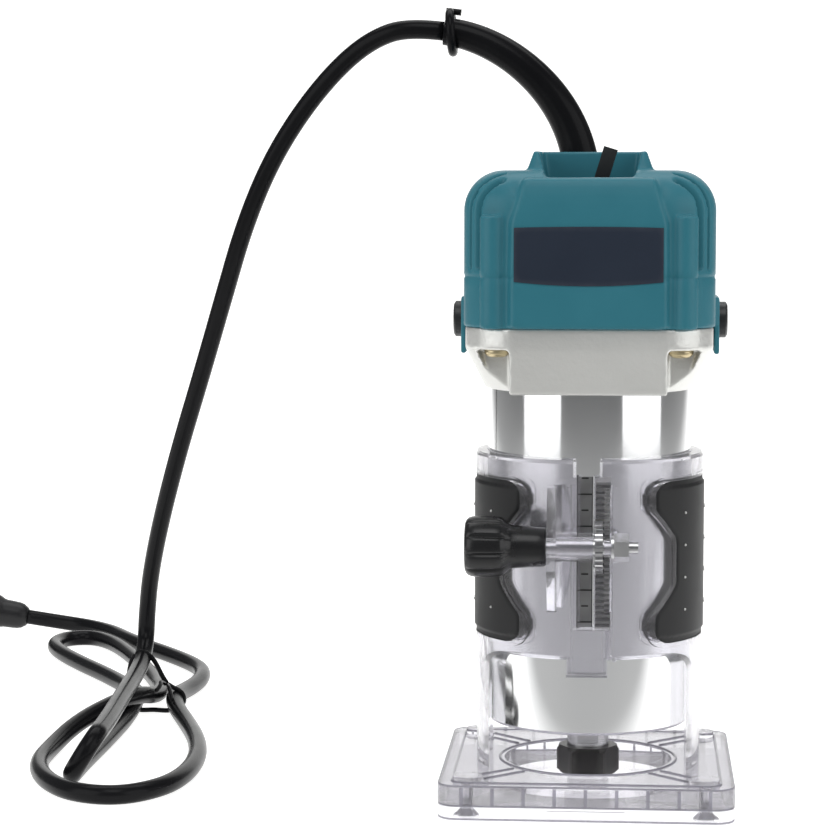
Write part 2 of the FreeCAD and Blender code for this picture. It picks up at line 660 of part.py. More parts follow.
def head_screw(spot):
    head = cut(rod(d.screw_head, d.cast_bend - d.screw_head_thick, d.cast_bend, spot),
               block((spot[0] - 2.4, spot[0] + 2.4), (spot[1] - 0.45, spot[1] + 0.45),
                     (0, d.cast_bend - d.screw_head_thick + 1.2)),
               block((spot[0] - 0.45, spot[0] + 0.45), (spot[1] - 2.4, spot[1] + 2.4),
                     (0, d.cast_bend - d.screw_head_thick + 1.2)))
    return fuse(head, rod(d.screw_radius, d.cast_bend - 0.5, screw_high - 1, spot))


node("upper_bracket", "motor", upper_bracket())
node("head_cover", "motor", head_cover())
node("head_screws", "motor", group(*[head_screw(spot) for spot in screw_spots], name="head_screws"))
node("label_plate", "motor", block((-d.label_half, d.label_half), (-d.hood_reach - d.label_thick, -d.hood_reach),
                                   (d.label_low, d.label_high)))

# Motor insides
upper_coil = d.commutator_low - d.coil_reach * 1.5


def stator_core():
    ring = tube(d.barrel_bore, d.barrel_bore - 4, d.stator_low, d.stator_high)
    poles = common(
        fuse(block((-d.barrel_bore, d.barrel_bore), (-11, 11), (d.stator_low, d.stator_high)),
             tube(d.stator_bore + 3.2, d.stator_bore, d.stator_low, d.stator_high)),
        rod(d.barrel_bore - 3, d.stator_low, d.stator_high))
    gaps = block((-8, 8), (-d.barrel_bore + 4, d.barrel_bore - 4), (0, d.cast_high))
    return cut(fuse(ring, poles), gaps, rod(d.stator_bore, 0, d.cast_high))


def field_coil(side):
    """One field winding: a frame round its pole, standing proud of the core at both ends."""
    limits = (d.stator_bore - 0.2, d.barrel_bore - 4.2)
    if side < 0:
        limits = (-limits[1], -limits[0])
    frame = common(
        block(limits, (-15.5, 15.5), (d.stator_low - 4, d.stator_high + 4)),
        tube(d.barrel_bore - 4.2, d.stator_bore + 3.4, d.stator_low - 4, d.stator_high + 4))
    return cut(frame, block((-d.barrel_bore, d.barrel_bore), (-11.2, 11.2),
                            (d.stator_low - 0.2, d.stator_high + 0.2)))


def bearing(prefix, ring_radius, bore_radius, low, high, outer_body):
    wall = (ring_radius - bore_radius) / 4
    middle = (ring_radius + bore_radius) / 2
    ball = wall * 1.06
    height = (low + high) / 2
    groove = made("Part::Torus")
    bind(groove, "Radius1", middle)
    bind(groove, "Radius2", ball + 0.02)
    place(groove, 0, 0, height)
    outer = tube(ring_radius, middle + wall * 0.7, low, high)
    inner = tube(middle - wall * 0.7, bore_radius, low, high)
    balls = []
    for index in range(8):
        angle = index * math.pi / 4
        ball_shape = made("Part::Sphere")
        bind(ball_shape, "Radius", ball)
        balls.append(place(ball_shape, middle * math.cos(angle), middle * math.sin(angle), height))
    node(f"{prefix}_outer_ring", outer_body, cut(outer, groove))
    node(f"{prefix}_inner_ring", "spindle", cut(inner, groove))
    node(f"{prefix}_balls", outer_body, group(*balls, name=f"{prefix}_balls"))


node("stator_core", "motor", stator_core())
node("field_coils", "motor", group(field_coil(-1), field_coil(1), name="field_coils"))
node("air_baffle", "motor", tube(d.barrel_bore, d.fan_radius - 6, d.fan_high + 1.5, d.fan_high + 3.5))
bearing("lower_bearing", d.lower_ring, d.lower_bore, bearing_low, bearing_high, "motor")
bearing("upper_bearing", d.upper_ring, d.upper_bore, d.upper_seat, d.upper_seat + d.upper_wide, "motor")


def brush_side(side):
    """The holder, carbon brush, spring and cap on one side of the commutator."""
    def along(start, end):
        return (start, end) if side > 0 else (-end, -start)

    word = "right" if side > 0 else "left"
    height = d.brush_height
    near = d.commutator_radius + 0.8
    brush_start = d.commutator_radius + d.brush_gap
    brush_end = brush_start + d.brush_long
    inside = (d.brush_wide / 2 + 0.05, d.brush_tall / 2 + 0.05)
    holder_end = d.ear_out - 1.5
    outer = rod(d.cap_radius - 0.4, *along(near, holder_end), (0, height), "x")
    channel = block(along(near - 1, holder_end + 1), (-inside[0], inside[0]),
                    (height - inside[1], height + inside[1]))
    node(f"brush_holder_{word}", "motor", cut(outer, channel))
    node(f"brush_{word}", f"brush_{word}",
         block(along(brush_start, brush_end), (-d.brush_wide / 2, d.brush_wide / 2),
               (height - d.brush_tall / 2, height + d.brush_tall / 2)))
    spring = tube(d.brush_wide / 2 - 0.2, d.brush_wide / 2 - 0.9, *along(brush_end, holder_end - 0.2),
                  (0, height), "x")
    node(f"brush_spring_{word}", "motor", spring)
    cap = fuse(rod(d.cap_radius, *along(holder_end, d.cap_end - 0.6), (0, height), "x"),
               cone(*((d.cap_radius, d.cap_radius - 0.9) if side > 0 else (d.cap_radius - 0.9, d.cap_radius)),
                    *along(d.cap_end - 0.6, d.cap_end), (0, height), "x"))
    slot = block(along(d.cap_end - 1.2, d.cap_end + 1), (-d.cap_radius + 1.4, d.cap_radius - 1.4),
                 (height - 0.7, height + 0.7))
    node(f"brush_cap_{word}", "motor", cut(cap, slot))


brush_side(-1)
brush_side(1)

# Spindle and collet
shaft_top = d.upper_seat + d.upper_wide
core_radius = d.stator_bore - d.air_gap


def spindle_shaft():
    profile = [
        (d.collet_radius, d.spindle_low), (d.spindle_radius, d.spindle_low),
        (d.spindle_radius, bearing_low - 0.3),
        (d.lower_bore + 0.6, bearing_low - 0.3), (d.lower_bore + 0.6, bearing_low), (d.lower_bore, bearing_low),
        (d.lower_bore, bearing_high + 2), (5, bearing_high + 2),
        (5, d.commutator_high), (4.4, d.commutator_high), (4.4, d.upper_seat), (d.upper_bore, d.upper_seat),
        (d.upper_bore, shaft_top), (0, shaft_top), (0, d.spindle_low + 12), (d.collet_radius, d.spindle_low + 12),
    ]
    shaft = turned(profile)
    flats = [block((-d.spindle_radius, d.spindle_radius), limits, (d.nut_high + 1.2, d.barrel_low - 0.8))
             for limits in ((-d.spindle_radius - 1, -d.spindle_radius + 0.9),
                            (d.spindle_radius - 0.9, d.spindle_radius + 1))]
    return cut(shaft, *flats)


def armature_core():
    core = tube(core_radius, 5, d.stator_low, d.stator_high)
    slots = []
    for index in range(12):
        slot = block((core_radius - 7, core_radius + 1), (-0.9, 0.9), (d.stator_low - 1, d.stator_high + 1))
        slot.Placement = FreeCAD.Placement(Vector(), FreeCAD.Rotation())
        bind(slot, "Placement.Base.z", d.stator_low - 1)
        turn = FreeCAD.Rotation(Vector(0, 0, 1), index * 30)
        corner = turn.multVec(Vector(number(core_radius) - 7, -0.9, 0))
        for prop, value in (("x", corner.x), ("y", corner.y)):
            bind(slot, f"Placement.Base.{prop}", value)
        slot.Placement.Rotation = turn
        slots.append(slot)
    return cut(core, *slots)


def armature_windings():
    low = [cone(9, core_radius - 2, d.stator_low - 9, d.stator_low - 4),
           rod(core_radius - 2, d.stator_low - 4, d.stator_low)]
    high = [cone(core_radius - 2, 9, d.stator_high + 4, d.stator_high + 12),
            rod(core_radius - 2, d.stator_high, d.stator_high + 4)]
    bore = [rod(5, 0, shaft_top), rod(5, 0, shaft_top)]
    return group(cut(fuse(*low), bore[0]), cut(fuse(*high), bore[1]), name="armature_windings")


def commutator():
    ring = tube(d.commutator_radius, 5, d.commutator_low, d.commutator_high)
    flange = tube(d.commutator_radius + 1.2, 5, d.commutator_low - 2, d.commutator_low)
    return fuse(ring, flange)


def cooling_fan():
    hub = rod(9, d.fan_low, d.fan_high)
    disc = rod(d.fan_radius, d.fan_high - 1.6, d.fan_high)
    blades = []
    for index in range(11):
        blade = made("Part::Box")
        bind(blade, "Length", d.fan_radius - 8.5)
        blade.Width = 1.4
        bind(blade, "Height", d.fan_high - d.fan_low - 0.5)
        turn = FreeCAD.Rotation(Vector(0, 0, 1), index * 360 / 11)
        start = turn.multVec(Vector(8, -0.7, 0))
        place(blade, start.x, start.y, d.fan_low, turn)
        blades.append(blade)
    return cut(fuse(hub, disc, *blades), rod(5, 0, shaft_top))


def collet_cone():
    sleeve = turned([(d.collet_bore, d.nut_low + 1.6), (d.collet_radius - 1, d.nut_low + 1.6),
                     (d.collet_radius - 0.05, d.nut_low + 4), (d.collet_radius - 0.05, d.spindle_low + 11.5),
                     (d.collet_bore, d.spindle_low + 11.5)])
    slits = [block((-8, 8), (-0.4, 0.4), (0, d.spindle_low + 6)),
             block((-0.4, 0.4), (-8, 8), (0, d.spindle_low + 6))]
    return cut(sleeve, *slits)


def collet_nut():
    outside = hexagon(d.nut_across / 2, d.nut_low, d.nut_high - 1.6)
    crown = rod(d.nut_across / 2 - 0.4, d.nut_high - 1.6, d.nut_high)
    bevel = turned([(0, d.nut_low), (d.nut_across / 2, d.nut_low), (d.nut_across / 2 + 1.6, d.nut_low + 1.2),
                    (d.nut_across / 2 + 1.6, d.nut_high), (0, d.nut_high)])
    hollow = [rod(d.collet_radius - 0.7, 0, d.nut_high), rod(d.collet_radius, d.nut_low + 4, d.nut_high),
              cone(d.collet_radius - 0.7, d.collet_radius, d.nut_low + 1.6, d.nut_low + 4),
              rod(d.spindle_radius + 0.03, d.spindle_low - 0.2, d.nut_high + 1)]
    return cut(common(fuse(outside, crown), bevel), *hollow)


node("spindle_shaft", "spindle", spindle_shaft())
node("armature_core", "spindle", armature_core())
node("armature_windings", "spindle", armature_windings())
node("commutator", "spindle", commutator())
node("cooling_fan", "spindle", cooling_fan())
node("collet_cone", "spindle", collet_cone())
node("collet_nut", "collet_nut", collet_nut())

# Switch
lever_half = d.lever_deep / 2


def switch_body():
    case = block((-10, 10), (-8, 8), (shaft_top + 3.5, d.well_floor - 2))
    room = block((-6.5, 6.5), (-lever_half - 0.4, lever_half + 0.4), (d.lever_pivot - 5, d.well_floor))
    return cut(case, room, rod(d.lever_pin + 0.05, -7, 7, (0, d.lever_pivot), "y"))


def switch_lever():
    blade = block((-d.lever_wide / 2 + 0.5, d.lever_wide / 2 - 0.5), (-lever_half, lever_half),
                  (d.lever_pivot - 3, d.lever_top - 3))
    top = block((-d.lever_wide / 2, d.lever_wide / 2), (-lever_half, lever_half), (d.lever_top - 14, d.lever_top))
    pin = rod(d.lever_pin, -6.8, 6.8, (0, d.lever_pivot), "y")
    lever = fuse(blade, top, pin)
    pivot = Vector(0, 0, number(d.lever_pivot))
    lean = FreeCAD.Rotation(Vector(0, 1, 0), dimensions["lever_lean"])
    lever.Placement = FreeCAD.Placement(Vector(), lean, pivot)
    return lever


node("switch_body", "motor", switch_body())
node("switch_lever", "switch_lever", switch_lever())

# Cord guard
guard_line = Part.BezierCurve()
guard_line.setPoles([Vector(guard_x, guard_y, 196), Vector(-3.2, guard_y, 222), Vector(-26, guard_y, 243.5),
                     Vector(-48.8, guard_y, 246.2)])


def ring_at(share, radius):
    return Part.Wire([Part.Circle(guard_line.value(share), guard_line.tangent(share)[0], radius).toShape()])


def cord_guard():
    foot, tip = number(d.guard_foot), number(d.guard_tip)
    steps = 8
    rings = [ring_at(index / steps, foot + (tip - foot) * index / steps) for index in range(steps + 1)]
    return feature(Part.makeLoft(rings, True, False))


def guard_tie():
    """The small rubber strap that is tied round the guard's mouth."""
    centre = guard_line.value(0.965)
    axis = guard_line.tangent(0.965)[0]
    tilt = FreeCAD.Rotation(Vector(0, 1, 0), -14).multVec(axis)
    band = Part.makeTorus(number(d.guard_tip) + number(d.tie_wire) + 0.45, number(d.tie_wire), centre, tilt)
    tip = centre + Vector(3.2, 0, 6.4)
    tail = Part.makeCylinder(number(d.tie_wire) * 0.7, 5, tip, Vector(-1, 0, 0.12))
    return feature(band.fuse(tail))


node("cord_guard", "motor", cord_guard())
node("guard_tie", "motor", guard_tie())

# Free cord, hank and plug
hank_top = 19.0
drop_points = [
    (-49.1, 28.5, 246.2), (-60.7, 28.5, 247.6), (-72.5, 31.0, 244.0), (-84.4, 35.5, 235.2), (-97.5, 40.5, 220.5),
    (-109.5, 47.0, 202.5), (-119.5, 55.5, 181.0), (-128.0, 66.0, 157.0), (-138.0, 79.0, 129.0),
    (-148.5, 93.0, 101.0),
    (-158.0, 108.0, 73.0), (-164.5, 122.0, 51.0), (-167.5, 131.0, 35.0), (-167.5, 131.0, hank_top),
]
tail_points = [
    (-180.0, 231.0, 3.2), (-190.0, 245.0, 3.2), (-199.4, 260.6, 3.2), (-208.2, 276.6, 3.2), (-220.0, 289.0, 3.4),
    (-234.5, 294.2, 4.4), (-250.0, 293.6, 6.8),
]
hank_outline = [
    (-147, -40), (-132, -24), (-127.5, 4), (-130, 40), (-141, 84), (-150, 118), (-149, 150), (-149, 178),
    (-153, 200), (-163, 217), (-174.3, 235.1), (-185.7, 226.9), (-189, 232), (-201, 252), (-211, 266),
    (-226, 266),
    (-231, 246), (-222, 220), (-194, 172), (-176, 130), (-174, 110), (-187, 62), (-189, 30), (-186, 0),
    (-178, -20),
    (-166, -36),
]
plug_start = Vector(*tail_points[-1])
plug_way = (plug_start - Vector(*tail_points[-2])).normalize()


def cord_tube(points, word):
    """Straight runs joined by tangent arcs, each as large as its two runs allow."""
    spots = [Vector(*point) for point in points]
    edges, start, length, radii = [], spots[0], 0.0, []
    for before, corner, after in zip(spots, spots[1:], spots[2:]):
        back, ahead = before - corner, after - corner
        turn = math.pi - back.getAngle(ahead)
        reach = 0.45 * min(back.Length, ahead.Length)
        radius = reach / math.tan(turn / 2)
        radii.append(round(radius, 1))
        back.normalize()
        ahead.normalize()
        into, out = corner + back * reach, corner + ahead * reach
        inward = (back + ahead).normalize()
        middle = corner + inward * (radius / math.cos(turn / 2) - radius)
        edges.append(Part.LineSegment(start, into).toShape())
        edges.append(Part.Arc(into, middle, out).toShape())
        length += (into - start).Length + radius * turn
        start = out
    edges.append(Part.LineSegment(start, spots[-1]).toShape())
    length += (spots[-1] - start).Length
    section = Part.Wire([Part.Circle(spots[0], spots[1] - spots[0], number(d.cord_radius)).toShape()])
    solid = Part.Wire(edges).makePipeShell([section], True, False, 2)
    expected = math.pi * number(d.cord_radius) ** 2 * length
    print(word, "length", round(length, 1), "volume share", round(solid.Volume / expected, 4), "radii", radii)
    return feature(solid)


def cord_hank():
    """The outer shape of the tied figure-eight of cord that lies on the surface."""
    corners = [Vector(x, y, 0.05) for x, y in hank_outline]
    face = Part.Face(Part.makePolygon(corners + corners[:1]))
    return feature(face.extrude(Vector(0, 0, hank_top - 0.05)))


def plug_body():
    rings = []
    for along, radius in ((0, 4.4), (3, 5.6), (9, 6.0), (12, 7.4), (20, 9.0), (34, 10.8), (37, 10.2)):
        rings.append(Part.Wire([Part.Circle(plug_start + plug_way * along, plug_way, radius).toShape()]))
    body = Part.makeLoft(rings, True, True)
    sleeve = Part.makeCylinder(number(d.cord_radius), 1, plug_start, plug_way)
    return feature(body.cut(sleeve))


def plug_pin(side):
    across = plug_way.cross(Vector(0, 0, 1)).normalize()
    start = plug_start + plug_way * 37 + across * (side * 9.5 * 0.85)
    return feature(Part.makeCylinder(2.0, 17, start, plug_way).fuse(Part.makeSphere(2.0, start + plug_way * 17)))


node("cord_drop", "base", cord_tube(drop_points, "cord_drop"))
node("cord_hank", "base", cord_hank())
node("cord_tail", "base", cord_tube(tail_points, "cord_tail"))
node("plug_body", "base", plug_body())
node("plug_pins", "base", group(plug_pin(-1), plug_pin(1), name="plug_pins"))

# Checks and export
doc.recompute()
for thing in doc.Objects:
    if "Invalid" in thing.State or "Error" in thing.State:
        raise RuntimeError(f"{thing.Label} failed: {thing.State}")
for name, (body, thing) in nodes.items():
    shape = thing.Shape
    if shape.isNull() or not shape.isValid():
        raise RuntimeError(f"{name} has no valid shape")
    if not shape.Solids:
        raise RuntimeError(f"{name} has no solid")
for name, (body, thing) in nodes.items():
    thing.Shape.exportStep(f"parts/{name}.step")
    print(name, body, len(thing.Shape.Solids), round(thing.Shape.Volume, 1))
print("nodes", len(nodes))
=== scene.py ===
import json
import math
import bmesh
import bpy
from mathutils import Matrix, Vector
from mathutils.kdtree import KDTree


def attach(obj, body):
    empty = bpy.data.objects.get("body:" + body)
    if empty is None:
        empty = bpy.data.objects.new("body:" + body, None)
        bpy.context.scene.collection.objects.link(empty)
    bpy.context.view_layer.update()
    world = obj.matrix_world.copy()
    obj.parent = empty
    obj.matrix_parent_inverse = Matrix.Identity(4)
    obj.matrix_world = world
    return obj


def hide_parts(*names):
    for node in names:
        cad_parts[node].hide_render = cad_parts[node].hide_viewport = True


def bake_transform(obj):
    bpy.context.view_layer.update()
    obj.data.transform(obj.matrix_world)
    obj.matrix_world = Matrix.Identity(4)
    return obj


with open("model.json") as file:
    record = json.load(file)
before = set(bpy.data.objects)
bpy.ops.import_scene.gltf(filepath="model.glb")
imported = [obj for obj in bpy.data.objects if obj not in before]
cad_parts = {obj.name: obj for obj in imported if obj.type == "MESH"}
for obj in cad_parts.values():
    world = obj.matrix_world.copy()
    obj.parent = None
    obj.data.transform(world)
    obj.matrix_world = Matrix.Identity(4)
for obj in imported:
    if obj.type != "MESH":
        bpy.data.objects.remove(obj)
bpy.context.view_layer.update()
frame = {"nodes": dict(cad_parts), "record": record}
nodes = frame["nodes"]
scene = bpy.context.scene
scene.view_settings.view_transform = "Standard"
mm = 0.001  # lengths below are written in millimetres and turned into metres with this
print("frame loaded")

# the eye and the lens in millimetres, the turns in degrees
shot = {"eye": (13.1, -884.9, 199.3), "down": 5.02, "left": 4.44, "lens": 119.2, "sensor": 36.0}


def makeCamera():
    camera = bpy.data.objects.new("camera", bpy.data.cameras.new("camera"))
    camera.data.lens = shot["lens"]
    camera.data.sensor_width = shot["sensor"]
    camera.data.clip_end = 20
    camera.location = Vector(shot["eye"]) * mm
    camera.rotation_euler = (math.radians(90 - shot["down"]), 0, math.radians(shot["left"]))
    scene.collection.objects.link(camera)
    scene.camera = camera


def addObject(name, mesh):
    piece = bpy.data.objects.new(name, mesh)
    scene.collection.objects.link(piece)
    return piece


def meshFrom(name, points, faces, smooth=True):
    mesh = bpy.data.meshes.new(name)
    mesh.from_pydata([Vector(p) for p in points], [], faces)
    mesh.validate()
    for face in mesh.polygons:
        face.use_smooth = smooth
    return mesh


def setInputs(node, values):
    for title, value in values.items():
        node.inputs[title].default_value = value


# in metres; the paper glows behind the object, between these depths and half widths
studio = {
    "floorReach": 3.2, "wallBack": 3.4, "wallHigh": 2.6, "bend": 0.7, "bendSteps": 12, "width": 3.5,
    "paper": (0.50, 0.50, 0.495, 1), "glow": 0.95, "glowDepth": (-0.15, -0.07),
    "glowAcross": (0.95, 0.50), "glowWidens": 0.2,
    "air": (0.96, 0.98, 1.0, 1), "airStrength": 0.2,
    # name, place, target, width and height, power
    "lights": [
        ("softboxLeft", (-0.86, -0.62, 0.36), (0, 0, 0.12), (0.95, 1.1), 5.0),
        ("softboxRight", (0.95, -0.50, 0.36), (0, 0, 0.12), (1.05, 1.1), 5.0),
        ("overhead", (0.0, -0.75, 1.25), (0, 0, 0.1), (0.8, 0.8), 5.0),
        ("wallWash", (0.0, 0.75, 1.5), (0, 1.5, 0.4), (1.6, 1.6), 18.0),
    ],
}


# a pale floor that curves up into a pale wall
def makeStage():
    bendStart = studio["wallBack"] - studio["bend"]
    profile = [(-studio["floorReach"], 0.0), (bendStart, 0.0)]
    for step in range(1, studio["bendSteps"] + 1):
        angle = step / studio["bendSteps"] * math.pi / 2
        profile.append((bendStart + studio["bend"] * math.sin(angle), studio["bend"] * (1 - math.cos(angle))))
    profile.append((studio["wallBack"], studio["wallHigh"]))
    points = [(side * studio["width"], y, z) for y, z in profile for side in (-1, 1)]
    faces = [(2 * i, 2 * i + 1, 2 * i + 3, 2 * i + 2) for i in range(len(profile) - 1)]
    floor = addObject("studioFloor", meshFrom("studioFloor", points, faces))
    paper, tree, shader = newMaterial("studioPaper")
    setInputs(shader, {"Base Color": studio["paper"], "Roughness": 0.9, "Emission Color": (1, 1, 0.99, 1)})
    place = tree.nodes.new("ShaderNodeTexCoord")
    split = tree.nodes.new("ShaderNodeSeparateXYZ")
    tree.links.new(place.outputs["Object"], split.inputs["Vector"])
    widening = mathNode(tree, "MULTIPLY", split.outputs["Y"], studio["glowWidens"])
    across = mathNode(tree, "SUBTRACT", mathNode(tree, "ABSOLUTE", split.outputs["X"]), widening)
    shares = []
    for source, edges in ((split.outputs["Y"], studio["glowDepth"]), (across, studio["glowAcross"])):
        fade = tree.nodes.new("ShaderNodeMapRange")
        setInputs(fade, {"From Min": edges[0], "From Max": edges[1]})
        tree.links.new(source, fade.inputs["Value"])
        shares.append(fade.outputs["Result"])
    spread = mathNode(tree, "MULTIPLY", shares[0], shares[1])
    glow = mathNode(tree, "MULTIPLY", spread, studio["glow"])
    tree.links.new(glow, shader.inputs["Emission Strength"])
    floor.data.materials.append(paper)


def addLight(name, place, target, size, power):
    light = bpy.data.lights.new(name, "AREA")
    light.shape = "RECTANGLE"
    light.size, light.size_y = size
    light.energy = power
    lamp = bpy.data.objects.new(name, light)
    lamp.location = place
    lamp.rotation_euler = (Vector(target) - Vector(place)).to_track_quat("-Z", "Y").to_euler()
    scene.collection.objects.link(lamp)


def makeLights():
    world = bpy.data.worlds.new("studioAir")
    scene.world = world
    world.use_nodes = True
    background = world.node_tree.nodes["Background"]
    setInputs(background, {"Color": studio["air"], "Strength": studio["airStrength"]})
    for light in studio["lights"]:
        addLight(*light)


def newMaterial(name):
    material = bpy.data.materials.new(name)
    material.use_nodes = True
    return material, material.node_tree, material.node_tree.nodes["Principled BSDF"]


# a shader node group with named sockets; inputs are (name, default) pairs
def newGroup(name, inputs, outputs):
    group = bpy.data.node_groups.new(name, "ShaderNodeTree")
    for title, value in inputs:
        kind = "NodeSocketColor" if isinstance(value, tuple) else "NodeSocketFloat"
        socket = group.interface.new_socket(title, in_out="INPUT", socket_type=kind)
        socket.default_value = value
    for title, kind in outputs:
        group.interface.new_socket(title, in_out="OUTPUT", socket_type=kind)
    return group, group.nodes.new("NodeGroupInput"), group.nodes.new("NodeGroupOutput")


def mathNode(tree, operation, first, second=None, clamp=False):
    node = tree.nodes.new("ShaderNodeMath")
    node.operation = operation
    node.use_clamp = clamp
    for index, value in enumerate((first, second)):
        if value is None:
            continue
        if isinstance(value, (int, float)):
            node.inputs[index].default_value = value
        else:
            tree.links.new(value, node.inputs[index])
    return node.outputs[0]


def mixColour(tree, share, first, second):
    node = tree.nodes.new("ShaderNodeMix")
    node.data_type = "RGBA"
    for socket, value in ((node.inputs["Factor"], share), (node.inputs[6], first), (node.inputs[7], second)):
        if isinstance(value, (int, float)):
            socket.default_value = value
        elif isinstance(value, tuple):
            socket.default_value = (*value, 1) if len(value) == 3 else value
        else:
            tree.links.new(value, socket)
    return node.outputs[2]


def noiseAt(tree, scale, detail=4.0):
    place = tree.nodes.new("ShaderNodeTexCoord")
    noise = tree.nodes.new("ShaderNodeTexNoise")
    noise.inputs["Detail"].default_value = detail
    if isinstance(scale, (int, float)):
        noise.inputs["Scale"].default_value = scale
    else:
        tree.links.new(scale, noise.inputs["Scale"])
    tree.links.new(place.outputs["Object"], noise.inputs["Vector"])
    return noise.outputs["Fac"]


# lightens a colour along the outer edges of a piece, broken up by noise
def makeEdgeWearGroup():
    group, given, result = newGroup(
        "edgeWear",
        [("Base", (0.5, 0.5, 0.5, 1)), ("Worn", (0.8, 0.8, 0.8, 1)), ("Amount", 0.5), ("Scale", 220.0)],
        [("Color", "NodeSocketColor")])
    geometry = group.nodes.new("ShaderNodeNewGeometry")
    ramp = group.nodes.new("ShaderNodeMapRange")
    setInputs(ramp, {"From Min": 0.52, "From Max": 0.62})
    group.links.new(geometry.outputs["Pointiness"], ramp.inputs["Value"])
    speckle = noiseAt(group, given.outputs["Scale"])
    broken = mathNode(group, "MULTIPLY", ramp.outputs["Result"], speckle, True)
    mask = mathNode(group, "MULTIPLY", broken, given.outputs["Amount"], True)
    worn = mixColour(group, mask, given.outputs["Base"], given.outputs["Worn"])
    group.links.new(worn, result.inputs["Color"])
    return group


# fine moulded or cast grain: a height, and a roughness that wanders about its middle
def makeGrainGroup():
    group, given, result = newGroup(
        "surfaceGrain", [("Scale", 900.0), ("Roughness", 0.5), ("Spread", 0.1)],
        [(title, "NodeSocketFloat") for title in ("Height", "Roughness", "Tone")])
    fine = noiseAt(group, given.outputs["Scale"], 6.0)
    broad = noiseAt(group, mathNode(group, "MULTIPLY", given.outputs["Scale"], 0.06), 3.0)
    shift = mathNode(group, "MULTIPLY", mathNode(group, "SUBTRACT", broad, 0.5), given.outputs["Spread"])
    wandering = mathNode(group, "ADD", given.outputs["Roughness"], shift, True)
    for title, value in (("Height", fine), ("Roughness", wandering), ("Tone", broad)):
        group.links.new(value, result.inputs[title])
    return group


# pale dust that settles on faces that look up
def makeDustGroup():
    group, given, result = newGroup(
        "settledDust",
        [("Base", (0.5, 0.5, 0.5, 1)), ("Dust", (0.6, 0.58, 0.54, 1)), ("Amount", 0.1)],
        [("Color", "NodeSocketColor")])
    geometry = group.nodes.new("ShaderNodeNewGeometry")
    split = group.nodes.new("ShaderNodeSeparateXYZ")
    group.links.new(geometry.outputs["Normal"], split.inputs["Vector"])
    facing = mathNode(group, "POWER", mathNode(group, "MAXIMUM", split.outputs["Z"], 0.0), 3.0)
    patchy = mathNode(group, "MULTIPLY", facing, noiseAt(group, 90.0, 5.0))
    share = mathNode(group, "MULTIPLY", patchy, given.outputs["Amount"], True)
    dusty = mixColour(group, share, given.outputs["Base"], given.outputs["Dust"])
    group.links.new(dusty, result.inputs["Color"])
    return group


edgeWear = makeEdgeWearGroup()
surfaceGrain = makeGrainGroup()
settledDust = makeDustGroup()


def placeGroup(tree, group, values):
    node = tree.nodes.new("ShaderNodeGroup")
    node.node_tree = group
    for title, value in values.items():
        if hasattr(value, "is_output"):
            tree.links.new(value, node.inputs[title])
        else:
            node.inputs[title].default_value = (*value, 1) if isinstance(value, tuple) else value
    return node


def addBump(tree, shader, height, strength, deep):
    bump = tree.nodes.new("ShaderNodeBump")
    setInputs(bump, {"Strength": strength, "Distance": deep * mm})
    tree.links.new(height, bump.inputs["Height"])
    tree.links.new(bump.outputs["Normal"], shader.inputs["Normal"])


# most opaque finishes: two close tones, grain, worn edges and dust, from one dictionary of values
def finishedMaterial(name, look):
    material, tree, shader = newMaterial(name)
    grain = placeGroup(tree, surfaceGrain, {"Scale": look["grain"], "Roughness": look["roughness"],
                                            "Spread": look.get("spread", 0.12)})
    toned = mixColour(tree, grain.outputs["Tone"], look["colour"], look["second"])
    worn = placeGroup(tree, edgeWear, {"Base": toned, "Worn": look["worn"], "Amount": look.get("wear", 0.5)})
    dusty = placeGroup(tree, settledDust, {"Base": worn.outputs["Color"], "Amount": look.get("dust", 0.012)})
    tree.links.new(dusty.outputs["Color"], shader.inputs["Base Color"])
    tree.links.new(grain.outputs["Roughness"], shader.inputs["Roughness"])
    addBump(tree, shader, grain.outputs["Height"], look.get("bump", 0.15), look.get("deep", 0.06))
    setInputs(shader, {
        "Metallic": look.get("metallic", 0.0), "Specular IOR Level": look.get("specular", 0.5),
        "Coat Weight": look.get("coat", 0.0), "Coat Roughness": 0.2,
    })
    return material


# clear moulded plastic, a little grey, with faint flow marks in its surface
def clearMaterial(name, clarity, roughness, alpha, tint):
    material, tree, shader = newMaterial(name)
    setInputs(shader, {"Base Color": (*tint, 1), "Transmission Weight": clarity, "IOR": 1.36, "Alpha": alpha})
    grain = placeGroup(tree, surfaceGrain, {"Scale": 350.0, "Roughness": roughness, "Spread": 0.04})
    tree.links.new(grain.outputs["Roughness"], shader.inputs["Roughness"])
    addBump(tree, shader, grain.outputs["Tone"], 0.12, 0.05)
    return material


